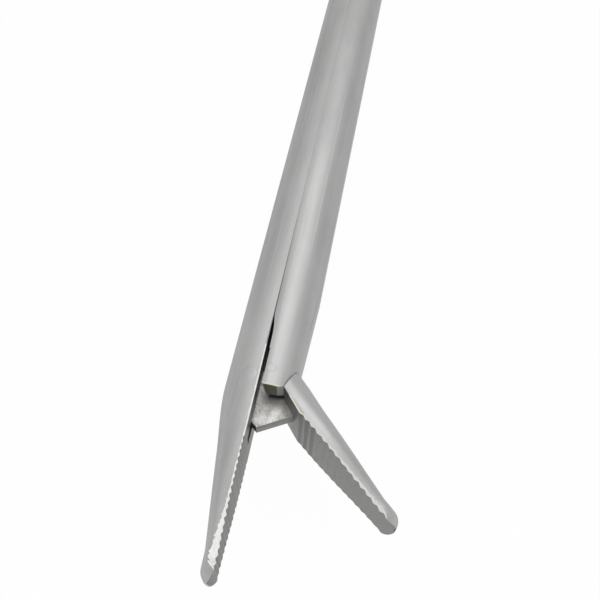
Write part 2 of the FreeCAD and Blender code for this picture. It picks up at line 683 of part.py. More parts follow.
def make_thumb_handle():
    """The rear handle: the pivot box that seats the fixed bar, a shank and the thumb ring."""
    body = new_body("thumb_handle")
    box = new_sketch(body, "XY_Plane", name="box")
    side = ("(box_radius * cos(box_side_angle))", "(-box_radius * sin(box_side_angle))")
    top = f"({SEAM} - box_top_gap)"
    draw(box, [
        (f"-{side[0]}", top),
        (f"-{side[0]}", side[1], "box_radius", 1),
        ("0", "-box_radius", "box_radius", 1),
        (side[0], side[1], "box_sweep", -1),
        ("box_front", f"{SEAM} - fixed_height - box_lip"),
        ("box_front", top),
    ])
    pad(body, box, "handle_thickness", both_ways=True)
    make_ring_and_shank(
        body,
        shank_stations("thumb_root", ("shank_width", "shank_thickness"), "thumb_reach",
                       "thumb_angle", "(-shank_bow)"),
        "(-thumb_reach * cos(thumb_angle))", "(-thumb_reach * sin(thumb_angle))")

    channel = new_sketch(body, "XY_Plane", name="lever_channel")
    clear = "(boss_radius + boss_play)"
    below = "(-box_radius - channel_below)"
    draw(channel, [
        (f"-{clear}", f"{SEAM} + overshoot"),
        (f"-{clear} - channel_flare", "0"),
        (f"-{clear} - channel_rear", below),
        (f"{clear} + channel_front", below),
        (clear, f"{SEAM} + overshoot"),
    ])
    pocket(body, channel, "lever_thickness + 2 * lever_play", both_ways=True)

    seat = new_sketch(body, "YZ_Plane", "tang_start - seat_gap", "bar_seat")
    half_round(seat, -1, "fixed_height + seat_gap + overshoot", "bar_width + 2 * seat_gap",
               "fixed_corner", f"({SEAM} + overshoot)")
    pocket(body, seat, "box_front", backwards=True)

    holes = new_sketch(body, "XY_Plane", name="rivet_holes")
    for index in (0, 1):
        draw_circle(holes, f"rivet_first + {index} * rivet_spacing", f"{SEAM} - rivet_drop",
                    "rivet_radius")
    draw_circle(holes, "0", "0", "thread_radius")
    pocket(body, holes, both_ways=True)
    shank_hole = new_sketch(body, "XY_Plane", name="screw_hole")
    draw_circle(shank_hole, "0", "0", "screw_radius")
    pocket(body, shank_hole, "handle_thickness", backwards=True)
    recess = new_sketch(body, "XY_Plane", f"{MIDDLE} - screw_head_height", "head_recess")
    draw_circle(recess, "0", "0", "screw_head_radius + head_play")
    pocket(body, recess, "handle_thickness", backwards=True)
    place(body, "0", "0", MIDDLE)
    return body


def make_finger_handle():
    """The front handle: a lever with its boss, thin upper arm, shank and finger ring."""
    body = new_body("finger_handle")
    boss = new_sketch(body, "XY_Plane", name="boss")
    draw_circle(boss, "0", "0", "boss_radius")
    pad(body, boss, "lever_thickness", both_ways=True)

    neck = new_sketch(body, "XY_Plane", name="neck")
    down = ("cos(finger_angle)", "sin(finger_angle)")

    def from_pivot(along, aside):
        return (f"(-({along}) * {down[0]} + ({aside}) * {down[1]})",
                f"(-({along}) * {down[1]} - ({aside}) * {down[0]})")

    draw(neck, [
        from_pivot("0", "-web_width / 2"),
        from_pivot("shank_start + web_overlap", "-web_width / 2 + web_taper"),
        from_pivot("shank_start + web_overlap", "web_width / 2 - web_taper"),
        from_pivot("0", "web_width / 2"),
    ])
    pad(body, neck, "lever_thickness", both_ways=True)

    arm = new_sketch(body, "XY_Plane", name="arm")
    draw(arm, [
        ("-arm_foot", "0"),
        ("arm_foot", "0"),
        ("arm_end_radius", "arm_length"),
        ("arm_end_flat", "arm_length + arm_end_rise"),
        ("-arm_end_flat", "arm_length + arm_end_rise"),
        ("-arm_end_radius", "arm_length"),
    ])
    pad(body, arm, "arm_thickness", both_ways=True)

    make_ring_and_shank(
        body,
        shank_stations("shank_start", ("shank_width", "shank_thickness"), "finger_reach",
                       "finger_angle", "shank_bow"),
        "(-finger_reach * cos(finger_angle))", "(-finger_reach * sin(finger_angle))")

    holes = new_sketch(body, "XY_Plane", name="pivot_hole")
    draw_circle(holes, "0", "0", "screw_radius + pin_play")
    draw_circle(holes, "0", "arm_length + drive_rise", "drive_pin_radius + drive_play")
    pocket(body, holes, both_ways=True)
    place(body, "0", "0", MIDDLE, f"{SWING} / 2")
    return body


def make_pivot_screw():
    """The screw that joins the handles, its head sunk in the box and its end ground flush."""
    body = new_body("handle_pivot_screw")
    side = new_sketch(body, "XZ_Plane", name="half_profile")
    neck = "(handle_thickness / 2)"
    draw(side, [
        ("0", "0"),
        ("thread_radius", "0"),
        ("thread_radius", neck),
        ("screw_radius", neck),
        ("screw_radius", "handle_thickness - screw_head_height"),
        ("screw_head_radius", "handle_thickness - screw_head_height"),
        ("screw_head_radius", "handle_thickness"),
        ("0", "handle_thickness"),
    ])
    turn = body.newObject("PartDesign::Revolution", "handle_pivot_screw_turned")
    turn.Profile = side
    turn.ReferenceAxis = (side, ["V_Axis"])
    turn.Angle = 360
    doc.recompute()
    slot = new_sketch(body, "XY_Plane", "handle_thickness - screw_slot_depth", "driver_slot")
    draw(slot, [
        ("-screw_head_radius - overshoot", "-screw_slot_width / 2"),
        ("screw_head_radius + overshoot", "-screw_slot_width / 2"),
        ("screw_head_radius + overshoot", "screw_slot_width / 2"),
        ("-screw_head_radius - overshoot", "screw_slot_width / 2"),
    ])
    pocket(body, slot, "handle_thickness", backwards=True)
    return body


def make_tang_rivets():
    """Two rivets across the seat of the fixed bar, ground flush with the box."""
    rivets = []
    for index in (0, 1):
        rivet = cross_pin(f"tang_rivet_{index + 1}", "rivet_radius", "handle_thickness",
                          f"rivet_first + {index} * rivet_spacing", f"{SEAM} - rivet_drop")
        rivets.append(rivet)
    group = doc.addObject("Part::Compound", "tang_rivets")
    group.Label = "tang_rivets"
    group.Links = rivets
    return group


make_fixed_bar()
make_sliding_bar()
make_moving_jaw()
make_pins()
make_guide_stud("front_guide_stud", "front_stud")
make_guide_stud("rear_guide_stud", "rear_stud")
make_thumb_handle()
make_finger_handle()
make_pivot_screw()
make_tang_rivets()
doc.recompute()

NODES = [
    "fixed_bar", "sliding_bar", "moving_jaw", "jaw_pivot_pin", "jaw_link_pin",
    "front_guide_stud", "rear_guide_stud", "slider_drive_pin", "thumb_handle",
    "finger_handle", "handle_pivot_screw", "tang_rivets",
]
for item in doc.Objects:
    if {"Invalid", "Error"} & set(item.State):
        raise RuntimeError(f"{item.Label} did not build: {item.State}")
os.makedirs("parts", exist_ok=True)
for node in NODES:
    shape = doc.getObjectsByLabel(node)[0].Shape
    if shape.isNull() or not shape.isValid():
        raise RuntimeError(f"{node} has no valid shape")
    shape.exportStep(f"parts/{node}.step")
    box = shape.BoundBox
    print(f"{node}: {len(shape.Solids)} solid, {shape.Volume:.2f} mm3, "
          f"{box.XLength:.2f} x {box.YLength:.2f} x {box.ZLength:.2f}")
print(f"slider travel {number(TRAVEL):.4f} mm, handle swing {number(SWING):.4f} degrees")
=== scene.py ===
# %% [markdown]
# Ear forceps of the alligator pattern, lying on their side on a pale table with the jaws open.
# A long shaft is made of two half-round bars. The lower bar ends in the fixed jaw. The upper bar
# slides along it when the ring handles are squeezed, and swings the second jaw shut.
# The construction comes from a packed engineering model. This lesson loads that model as a fixed
# frame, builds a finer mesh for each piece in the same place, and gives each its steel.
# %% Load the frame and measure it
import json
import math
import random

import bmesh
import bpy
from mathutils import Matrix, Vector


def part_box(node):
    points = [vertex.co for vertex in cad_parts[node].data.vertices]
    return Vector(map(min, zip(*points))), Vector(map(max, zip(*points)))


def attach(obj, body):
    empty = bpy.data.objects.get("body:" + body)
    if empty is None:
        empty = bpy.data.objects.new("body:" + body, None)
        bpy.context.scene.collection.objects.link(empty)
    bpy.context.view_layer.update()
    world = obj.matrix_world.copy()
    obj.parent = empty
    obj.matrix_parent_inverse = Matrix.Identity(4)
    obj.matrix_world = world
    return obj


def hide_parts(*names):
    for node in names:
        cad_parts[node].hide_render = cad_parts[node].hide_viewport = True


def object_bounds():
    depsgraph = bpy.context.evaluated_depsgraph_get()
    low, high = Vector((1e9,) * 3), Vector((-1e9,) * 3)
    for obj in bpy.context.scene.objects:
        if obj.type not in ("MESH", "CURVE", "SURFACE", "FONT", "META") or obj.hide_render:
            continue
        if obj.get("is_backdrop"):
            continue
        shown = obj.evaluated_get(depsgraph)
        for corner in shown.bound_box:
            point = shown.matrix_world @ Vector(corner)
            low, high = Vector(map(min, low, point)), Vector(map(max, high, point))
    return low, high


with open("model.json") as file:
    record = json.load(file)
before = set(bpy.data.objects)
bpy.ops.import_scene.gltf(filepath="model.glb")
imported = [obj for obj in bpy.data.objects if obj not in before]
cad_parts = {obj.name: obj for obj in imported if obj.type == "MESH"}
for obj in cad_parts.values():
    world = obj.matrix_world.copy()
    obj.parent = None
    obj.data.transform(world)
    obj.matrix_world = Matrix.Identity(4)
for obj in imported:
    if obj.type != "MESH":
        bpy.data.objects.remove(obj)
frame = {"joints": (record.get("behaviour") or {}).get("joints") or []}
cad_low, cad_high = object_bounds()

scene = bpy.context.scene
MM = 0.001
print("frame", [round(v / MM, 2) for v in cad_low], "to", [round(v / MM, 2) for v in cad_high], "mm")

# %% [markdown]
# Everything is drawn in millimetres and scaled to metres at the end, because the cutting and
# rounding tools work more exactly on numbers near 1. The driving places are read from the frame:
# the jaw's pivot and opening from its joint, and the bars' sizes from their boxes. What the frame
# doesn't say, such as the pitch of the teeth, is written here as a real size.
# %% Places that come from the frame
joints = {joint["name"]: joint for joint in frame["joints"]}


def node_box(node):
    """The lowest and highest corner of a node of the frame, in millimetres."""
    low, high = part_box(node)
    return low / MM, high / MM


PIVOT = Vector(joints["jaw_swing"]["pos_m"]) / MM
OPENING = math.radians(joints["jaw_swing"]["range_deg"][1])
slider_low, slider_high = node_box("sliding_bar")
bar_low, bar_high = node_box("fixed_bar")
SEAM_GAP = 0.02
SEAM = slider_low.y - SEAM_GAP
MIDDLE = PIVOT.z
END = slider_high.x
BAR_WIDTH = slider_high.z - slider_low.z
FIXED_HEIGHT = SEAM - bar_low.y
SLIDER_HEIGHT = slider_high.y - SEAM
JAW_LENGTH = bar_high.x - END
PIVOT_BACK = END - PIVOT.x
PIVOT_DEPTH = SEAM - PIVOT.y
print("end face at", round(END, 2), "seam at", round(SEAM, 2), "jaw length", round(JAW_LENGTH, 2))

# %% [markdown]
# A few helpers do most of the modelling. A loft skins a row of rings, one ring for each station
# along a bar. A prism gives thickness to a flat outline, and a lathe turns a profile. A carve cuts
# one mesh out of another, or joins two. Shading marks the edges that are to stay crisp and lets the
# rest look round. A subdivision surface suits the handles, but on a ground bar it would soften the
# seam, the bevel and the teeth.
# %% Mesh helpers
CRISP_ANGLE = math.radians(32)


def one_material(station, side):
    return 0


def stitch(bm, near, far):
    """Faces from one loop of corners to the next."""
    count = len(near)
    faces = []
    for side in range(count):
        after = (side + 1) % count
        faces.append(bm.faces.new((near[side], near[after], far[after], far[side])))
    return faces


def loft(rings, paint=one_material):
    """Skins equal rings of points. paint(station, side) gives the material of each face."""
    bm = bmesh.new()
    loops = [[bm.verts.new(p) for p in ring] for ring in rings]
    for station, (near, far) in enumerate(zip(loops, loops[1:])):
        for side, face in enumerate(stitch(bm, near, far)):
            face.material_index = paint(station, side)
    for loop, station in ((loops[0], -1), (loops[-1], len(rings) - 1)):
        cap = bm.faces.new(loop)
        cap.material_index = paint(station, -1)
    return bm


def prism(outline, low, high, edge=0.0, axis="Z", steps=2):
    """A plate with the given outline between two heights, its rims rounded by edge."""
    bm = bmesh.new()
    turn = {
        "X": lambda y, z, x: (x, y, z),
        "Y": lambda x, z, y: (x, y, z),
        "Z": lambda x, y, z: (x, y, z),
    }[axis]
    floor = [bm.verts.new(turn(x, y, low)) for x, y in outline]
    roof = [bm.verts.new(turn(x, y, high)) for x, y in outline]
    stitch(bm, floor, roof)
    caps = [bm.faces.new(floor), bm.faces.new(roof)]
    bmesh.ops.recalc_face_normals(bm, faces=bm.faces)
    if edge:
        rims = list({e for cap in caps for e in cap.edges})
        bmesh.ops.bevel(bm, geom=rims, offset=edge, segments=steps, profile=0.5, affect="EDGES",
                        clamp_overlap=True)
    return bm


def lathe(profile, centre, axis, steps=48):
    """Turns a profile of (radius, height) pairs about an axis through centre."""
    along = Vector(axis)
    aside = along.orthogonal().normalized()
    across = along.cross(aside)
    rings = []
    for radius, height in profile:
        ring = []
        for step in range(steps):
            a = 2 * math.pi * step / steps
            out = aside * math.cos(a) * radius + across * math.sin(a) * radius
            ring.append(Vector(centre) + along * height + out)
        rings.append(ring)
    return loft(rings)


def as_object(bm, name, materials=(), paint=None):
    """Turns a drawn mesh into an object, still in millimetres. paint is one material for all."""
    if paint is not None:
        for face in bm.faces:
            face.material_index = paint
    bmesh.ops.recalc_face_normals(bm, faces=bm.faces)
    mesh = bpy.data.meshes.new(name)
    bm.to_mesh(mesh)
    bm.free()
    for material in materials:
        mesh.materials.append(material)
    piece = bpy.data.objects.new(name, mesh)
    scene.collection.objects.link(piece)
    return piece


def bake(piece):
    """Turns the piece's modifiers into plain mesh, materials and all."""
    graph = bpy.context.evaluated_depsgraph_get()
    mesh = bpy.data.meshes.new_from_object(piece.evaluated_get(graph), depsgraph=graph)
    worn_out = piece.data
    piece.modifiers.clear()
    piece.data = mesh
    mesh.name = piece.name
    bpy.data.meshes.remove(worn_out)
    return piece


def carve(piece, tools, operation="DIFFERENCE"):
    """Cuts the tools out of the piece, or joins them to it, and removes the tools."""
    for cutter in tools:
        modifier = piece.modifiers.new("carve", "BOOLEAN")
        modifier.operation = operation
        modifier.object = cutter
        modifier.solver = "EXACT"
        bake(piece)
        bpy.data.objects.remove(cutter)
    return piece


def shade(piece):
    """Looks round everywhere but at edges sharper than the crisp angle."""
    bm = bmesh.new()
    bm.from_mesh(piece.data)
    for face in bm.faces:
        face.smooth = True
    for edge in bm.edges:
        edge.smooth = edge.calc_face_angle(0) < CRISP_ANGLE
    bm.to_mesh(piece.data)
    bm.free()
    modifier = piece.modifiers.new("normals", "WEIGHTED_NORMAL")
    modifier.keep_sharp = True


def settle(piece, body, slot, *nodes):
    """Scales a finished piece to metres and ties it to the frame."""
    piece.data.transform(Matrix.Scale(MM, 4))
    shade(piece)
    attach(piece, body)
    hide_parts(*nodes)
    print(piece.name, len(piece.data.polygons), "faces, rides on", body)
    return piece


def smooth_through(points, x):
    """A smooth curve through (place, value) pairs, constant beyond both ends."""
    if x <= points[0][0]:
        return points[0][1]
    if x >= points[-1][0]:
        return points[-1][1]
    slopes = [0.0]
    for (x0, y0), (_, y1), (x2, y2) in zip(points, points[1:], points[2:]):
        turning = (y1 - y0) * (y2 - y1) <= 0
        slopes.append(0.0 if turning else (y2 - y0) / (x2 - x0))
    last = (points[-1][1] - points[-2][1]) / (points[-1][0] - points[-2][0])
    slopes.append(last)
    for i, ((x0, y0), (x1, y1)) in enumerate(zip(points, points[1:])):
        if x <= x1:
            span = x1 - x0
            t = (x - x0) / span
            rise = y1 - y0
            a = slopes[i] * span - rise
            b = -slopes[i + 1] * span + rise
            return y0 + rise * t + t * (1 - t) * (a * (1 - t) + b * t)


# %% [markdown]
# Every finish is a small tree of shader nodes. These helpers keep the recipes short: noise in the
# object's own millimetres, a colour ramp, a blend of two colours and a bump with a real depth.
# %% Node helpers
def new_material(name, metal=1.0):
    """A material, its node tree and its shader."""
    material = bpy.data.materials.new(name)
    material.use_nodes = True
    shader = material.node_tree.nodes["Principled BSDF"]
    shader.inputs["Metallic"].default_value = metal
    return material, material.node_tree, shader


def add_node(tree, kind, **settings):
    node = tree.nodes.new(kind)
    for name, value in settings.items():
        setattr(node, name, value)
    return node


def arithmetic(tree, operation, first, second):
    """One sum of a socket with another socket or a number."""
    node = add_node(tree, "ShaderNodeMath", operation=operation)
    tree.links.new(first, node.inputs[0])
    if isinstance(second, float):
        node.inputs[1].default_value = second
    else:
        tree.links.new(second, node.inputs[1])
    return node.outputs[0]


def coordinate(tree, kind, axis):
    """One axis of a coordinate."""
    place = add_node(tree, "ShaderNodeTexCoord")
    split = add_node(tree, "ShaderNodeSeparateXYZ")
    tree.links.new(place.outputs[kind], split.inputs["Vector"])
    return split.outputs[axis]


def noise(tree, stretch, turn=0.0, detail=4.0, roughness=0.6, seed=0.0):
    """Noise in the object's own millimetres. stretch gives the grain along X, Y and Z."""
    place = add_node(tree, "ShaderNodeTexCoord")
    mapping = add_node(tree, "ShaderNodeMapping", vector_type="TEXTURE")
    mapping.inputs["Rotation"].default_value = (0, 0, turn)
    mapping.inputs["Location"].default_value = (seed * MM, 0, 0)
    mapping.inputs["Scale"].default_value = [MM * s for s in stretch]
    texture = add_node(tree, "ShaderNodeTexNoise")
    texture.inputs["Scale"].default_value = 1.0
    texture.inputs["Detail"].default_value = detail
    texture.inputs["Roughness"].default_value = roughness
    tree.links.new(place.outputs["Object"], mapping.inputs["Vector"])
    tree.links.new(mapping.outputs["Vector"], texture.inputs["Vector"])
    return texture.outputs["Fac"]


def ramp(tree, source, stops):
    """A colour ramp of (place, grey or colour) stops."""
    node = add_node(tree, "ShaderNodeValToRGB")
    while len(node.color_ramp.elements) < len(stops):
        node.color_ramp.elements.new(0.5)
    for element, (place, tone) in zip(node.color_ramp.elements, stops):
        element.position = place
        element.color = (*tone, 1) if isinstance(tone, tuple) else (tone, tone, tone, 1)
    tree.links.new(source, node.inputs["Fac"])
    return node.outputs["Color"]


def blend(tree, factor, first, second, mode="MIX"):
    """Mixes two colours; factor is a number or a socket."""
    node = add_node(tree, "ShaderNodeMix", data_type="RGBA", blend_type=mode)
    for socket, value in ((0, factor), (6, first), (7, second)):
        if isinstance(value, bpy.types.NodeSocket):
            tree.links.new(value, node.inputs[socket])
        elif socket == 0:
            node.inputs[socket].default_value = value
        else:
            node.inputs[socket].default_value = (*value, 1)
    return node.outputs[2]


def bump(tree, shader, height, depth, strength=1.0, before=None):
    """Bump of a real depth in millimetres; before is the bump that it lies on."""
    node = add_node(tree, "ShaderNodeBump")
    node.inputs["Distance"].default_value = depth * MM
    node.inputs["Strength"].default_value = strength
    tree.links.new(height, node.inputs["Height"])
    if before is not None:
        tree.links.new(before, node.inputs["Normal"])
    tree.links.new(node.outputs["Normal"], shader.inputs["Normal"])
    return node.outputs["Normal"]


# %% [markdown]
# The steel is a satin stainless steel, rubbed along the shaft. Its look has three scales: soft
# pale and dark patches a few millimetres long, fine streaks that run with the rubbing, and a bump
# that breaks up the reflections. All come from noise in the object's own coordinates, stretched
# along the rubbing direction. An image texture would show its pixels this close.
# %% Satin steel
def satin_steel(name, pale, dark, turn=0.0, grain=(9.0, 0.16, 0.16), rough=(0.36, 0.46), seed=0.0):
    """Rubbed steel. turn is the rubbing direction about +Z, grain the length of a streak."""
    material, tree, shader = new_material(name)
    patches = noise(tree, (5.0, 1.3, 1.3), turn, detail=3.0, seed=seed)
    streaks = noise(tree, grain, turn, detail=6.0, roughness=0.7, seed=seed + 31)
    hairs = noise(tree, (grain[0] * 2.2, grain[1] * 0.25, grain[2] * 0.25), turn, detail=2.0,
                  seed=seed + 57)
    tone = ramp(tree, patches, [(0.36, dark), (0.64, pale)])
    tone = blend(tree, 0.35, tone, ramp(tree, streaks, [(0.30, dark), (0.70, pale)]))
    scratch = ramp(tree, hairs, [(0.66, 0.0), (0.74, 1.0)])
    tone = blend(tree, scratch, tone, tuple(min(1.0, c * 1.25) for c in pale))
    tree.links.new(tone, shader.inputs["Base Color"])
    shader.inputs["Specular Tint"].default_value = (0.72, 0.72, 0.72, 1)
    gloss = ramp(tree, streaks, [(0.3, rough[0]), (0.7, rough[1])])
    tree.links.new(gloss, shader.inputs["Roughness"])
    soft = bump(tree, shader, patches, 0.02, 0.5)
    bump(tree, shader, streaks, 0.003, 0.6, before=soft)
    return material


PALE = (0.465, 0.467, 0.462)
DARK = (0.390, 0.392, 0.388)
shaft_steel = satin_steel("satin steel along the shaft", PALE, DARK)
jaw_steel = satin_steel("satin steel along the open jaw", PALE, DARK, turn=OPENING, seed=7.0)
handle_steel = satin_steel("tumbled steel of the handles", (0.44, 0.44, 0.435), (0.38, 0.38, 0.375),
                           grain=(0.5, 0.5, 0.5), rough=(0.27, 0.38), seed=19.0)
pin_steel = satin_steel("ground pin", PALE, DARK, turn=0.3, grain=(2.0, 0.12, 0.12), seed=41.0)
screw_steel = satin_steel("turned screw", (0.50, 0.50, 0.49), (0.43, 0.43, 0.42),
                          grain=(0.7, 0.7, 0.7), rough=(0.22, 0.32), seed=61.0)
print("steels:", shaft_steel.name, "|", jaw_steel.name, "|", handle_steel.name)

# %% [markdown]
# More finishes sit beside the satin one. The ground edges of the jaws are polished and painted
# nearly white as a painted highlight, and the rims that wear first are a little yellow, with the same
# painted highlight. The toothed faces are painted darker as painted shade, with strokes across them
# where the file ran, specks of dirt, and a deeper painted shade in the grooves. The square end of the
# upper bar and the walls that the cutters leave are painted dark as painted shade. The tongue is bright
# and scratched, with dark specks of dirt that crowd towards the slot it drops into as painted shade.
# %% Finishes of the edges, the teeth and the tongue
def ground_edge_painted_highlight(name, pale, turn=0.0):
    """A bright, mottled ground edge, painted near white as a painted highlight. It is only partly metal,
    so that it stays pale in every room.
    """
    material, tree, shader = new_material(name, metal=0.25)
    mottle = noise(tree, (0.35, 0.12, 0.12), turn, detail=4.0, roughness=0.7)
    tone = ramp(tree, mottle, [(0.30, tuple(c * 0.86 for c in pale)), (0.62, pale)])
    tree.links.new(tone, shader.inputs["Base Color"])
    shader.inputs["Roughness"].default_value = 0.40
    bump(tree, shader, mottle, 0.006, 0.7)
    return material


def filed_face(name, pale, dark, turn=0.0):
    """The toothed face: strokes run across the jaw, along Z. The dark tones that it is given are painted
    shade, and the specks are dirt.
    """
    material, tree, shader = new_material(name)
    strokes = noise(tree, (0.07, 0.5, 2.6), turn, detail=5.0, roughness=0.7, seed=3.0)
    dirt = noise(tree, (0.22, 0.3, 0.22), turn, detail=5.0, roughness=0.75, seed=11.0)
    tone = ramp(tree, strokes, [(0.34, dark), (0.66, pale)])
    speck = ramp(tree, dirt, [(0.58, 0.0), (0.66, 1.0)])
    tone = blend(tree, speck, tone, (0.10, 0.09, 0.075))
    tree.links.new(tone, shader.inputs["Base Color"])
    tree.links.new(ramp(tree, strokes, [(0.3, 0.38), (0.7, 0.55)]), shader.inputs["Roughness"])
    bump(tree, shader, strokes, 0.012, 0.8)
    return material


def scratched_plate(name, pale, dark):
    """The side of the tongue: bright, with scratches both ways and dark specks of dirt that crowd towards
    the slot as painted shade.
    """
    material, tree, shader = new_material(name)
    first = noise(tree, (1.6, 0.05, 0.4), math.radians(35), detail=3.0, seed=5.0)
    second = noise(tree, (1.3, 0.06, 0.4), math.radians(-50), detail=3.0, seed=9.0)
    patches = noise(tree, (0.5, 0.4, 0.4), detail=5.0, roughness=0.7, seed=23.0)
    tone = ramp(tree, patches, [(0.36, dark), (0.58, pale)])
    lines = blend(tree, 1.0, ramp(tree, first, [(0.60, 0.0), (0.68, 1.0)]),
                  ramp(tree, second, [(0.62, 0.0), (0.70, 1.0)]), "LIGHTEN")
    tone = blend(tree, lines, tone, (0.24, 0.235, 0.22))
    # Towards the slot the dark specks crowd together, a painted shade where the tongue goes under the bar.
    slot_shade = add_node(tree, "ShaderNodeMapRange")
    for socket, value in (("From Min", (SEAM + 0.05) * MM), ("From Max", (SEAM + 0.75) * MM),
                          ("To Min", 0.15), ("To Max", 0.0)):
        slot_shade.inputs[socket].default_value = value
    tree.links.new(coordinate(tree, "Object", "Y"), slot_shade.inputs["Value"])
    specks = noise(tree, (0.11, 0.11, 0.11), detail=4.0, roughness=0.75, seed=37.0)
    specks_and_slot_shade = arithmetic(tree, "ADD", specks, slot_shade.outputs["Result"])
    tone = blend(tree, ramp(tree, specks_and_slot_shade, [(0.69, 0.0), (0.79, 1.0)]), tone, (0.10, 0.095, 0.07))
    tree.links.new(tone, shader.inputs["Base Color"])
    tree.links.new(ramp(tree, patches, [(0.3, 0.44), (0.7, 0.30)]), shader.inputs["Roughness"])
    bump(tree, shader, first, 0.006, 0.6)
    return material


# The ground edges are painted near white, a painted highlight.
edge_highlight_steel = ground_edge_painted_highlight("polished edge with painted highlight", (0.97, 0.965, 0.94))
jaw_edge_highlight_steel = ground_edge_painted_highlight("polished edge with painted highlight of the open jaw", (0.80, 0.79, 0.75), OPENING)
# The toothed faces are painted dark as painted shade; their strokes are file marks.
tooth_shade_steel = filed_face("filed tooth face with painted shade", (0.22, 0.22, 0.21), (0.12, 0.12, 0.115))
jaw_tooth_shade_steel = filed_face("filed tooth face with painted shade of the open jaw", (0.245, 0.242, 0.237),
                             (0.175, 0.175, 0.17), OPENING)
# The grooves are painted darker still, as painted shade; their specks are dirt.
groove_shade_steel = filed_face("groove with painted shade", (0.18, 0.18, 0.17), (0.10, 0.10, 0.095))
# The worn rim is painted pale yellow, a painted highlight.
rim_highlight_steel = ground_edge_painted_highlight("worn rim with painted highlight", (0.86, 0.84, 0.66))
# The end face and the walls that the cutters leave are painted dark, as painted shade.
end_shade_steel = filed_face("end face with painted shade", (0.175, 0.175, 0.15), (0.11, 0.11, 0.095))
tongue_steel = scratched_plate("scratched tongue", (0.56, 0.555, 0.54), (0.41, 0.405, 0.39))
STEEL, EDGE, TEETH, PAINTED_SHADE, PLATE, GROOVE_SHADE, WORN_HIGHLIGHT = range(7)
SHAFT_FINISH = [shaft_steel, edge_highlight_steel, tooth_shade_steel, end_shade_steel, tongue_steel, groove_shade_steel, rim_highlight_steel]
JAW_FINISH = [jaw_steel, jaw_edge_highlight_steel, jaw_tooth_shade_steel, end_shade_steel, tongue_steel, groove_shade_steel, rim_highlight_steel]
print("finishes:", edge_highlight_steel.name, "|", tooth_shade_steel.name, "|", end_shade_steel.name, "|", tongue_steel.name)

# %% [markdown]
# Both bars share one kind of section: flat on the seam and round on the back, fuller than a half
# circle. A superellipse gives that with one number for its fullness, and its curve starts right at
# the seam, so light rolls off it without a step. One function serves the shaft, the jaws and the
# nose. Where the seam face meets the side, the edge is either rounded or ground to a facet.
# %% The half-round section
BACK_STEPS = (0.13, 0.26, 0.38, 0.50, 0.61, 0.71, 0.80, 0.88, 0.94, 0.98)
EDGE_STEPS = (0.0, 0.35, 0.7)
BAR_FULLNESS = 2.8
NEAR_EDGES = tuple(range(len(EDGE_STEPS)))
HALF_COUNT = len(EDGE_STEPS) + len(BACK_STEPS) + 1
SEAM_FACE = 2 * HALF_COUNT - 1
FAR_EDGES = tuple(SEAM_FACE - 1 - i for i in NEAR_EDGES)


def half_width(width, height, fullness, out):
    """How wide half of the section is at a distance from the seam."""
    share = min(1.0, max(0.0, out / height))
    return width / 2 * (1 - share ** fullness) ** (1 / fullness)


def half_section(width, height, fullness=BAR_FULLNESS, edge=(0.01, 0.01), bow=0.0, sink=0.0,
                 far_sink=None, cut=None):
    """(across, out) pairs round one section. edge is how far the seam edge is taken in and out,
    bow 1 rounds it and 0 leaves it flat, sink lowers the seam face, cut trims the back flat."""
    edge_in, edge_out = edge
    top = height if cut is None else min(cut, height)

    def one_side(depth):
        finish = max(edge_out, depth + 0.002)
        points = []
        for step in EDGE_STEPS:
            out = depth + (finish - depth) * step
            left = 1 - min(1.0, out / finish)
            taken = edge_in * (bow * left ** 2 + (1 - bow) * left)
            points.append((half_width(width, height, fullness, out) - taken, out))
        for step in (0.0, *BACK_STEPS):
            out = finish + (top - finish) * step
            points.append((half_width(width, height, fullness, out), out))
        return points

    far = one_side(sink if far_sink is None else far_sink)
    return one_side(sink) + [(-across, out) for across, out in reversed(far)]


def ring(x, side, points):
    """Places a section at x. side is -1 for the lower bar and 1 for the upper one."""
    return [Vector((x, SEAM + side * out, MIDDLE + across)) for across, out in points]


print("a section has", 2 * HALF_COUNT, "points, the seam face is side", SEAM_FACE)


# %% [markdown]
# The teeth are shallow grooves filed straight across both jaws. A bump map could hint at them, but
# they break the jaw's outline, so they are real geometry: a station at the bottom of each groove
# and one each side of its crest. A small seeded unevenness keeps them from looking moulded.
# %% Sizes of the jaws and their teeth
LOWER_TEETH = (2.45, 0.275, 18)  # first groove, pitch, count
UPPER_TEETH = (2.5, 0.365, 14)
TOOTH_DEPTH = 0.055
CREST_LAND = 0.02
FAR_SHARE = 0.55
MIDDLE_STATION = 3.0
MIDDLE_HEIGHT = 1.03
MIDDLE_WIDTH = 3.12
TIP_HEIGHT = 0.55
TIP_WIDTH = 2.1
NOSE_ROUND = 0.42
NOSE_BLUNTNESS = 2.6
NOSE_BEVEL = 0.24
NOSE_STEPS = 11
TIP_FLAT = 0.002
HEEL_HEIGHT = 1.46
LOWER_LENGTH = JAW_LENGTH - 0.12
UPPER_LENGTH = JAW_LENGTH + 0.10
JAW_FULLNESS = [(0, BAR_FULLNESS), (MIDDLE_STATION, 3.2), (JAW_LENGTH - TIP_WIDTH / 2, 3.7)]


def tooth_stations(teeth, seed):
    """(place, depth) of every station of the serrations, ahead of the end face."""
    chance = random.Random(seed)
    first, pitch, count = teeth
    stations = []
    for index in range(count):
        centre = first + index * pitch + chance.uniform(-0.012, 0.012)
        depth = TOOTH_DEPTH * chance.uniform(0.75, 1.15)
        reach = pitch / 2 - CREST_LAND / 2
        stations += [(centre - reach, 0.0), (centre, depth), (centre + reach, 0.0)]
    return stations


def nose_stations(first, length):
    """Stations that crowd together towards the tip, where the nose is round."""
    run = length - first
    stations = []
    for step in range(1, NOSE_STEPS + 1):
        left = 1 - math.sin(math.pi / 2 * step / NOSE_STEPS)
        stations.append((length - run * left - TIP_FLAT * step / NOSE_STEPS, 0.0))
    return stations


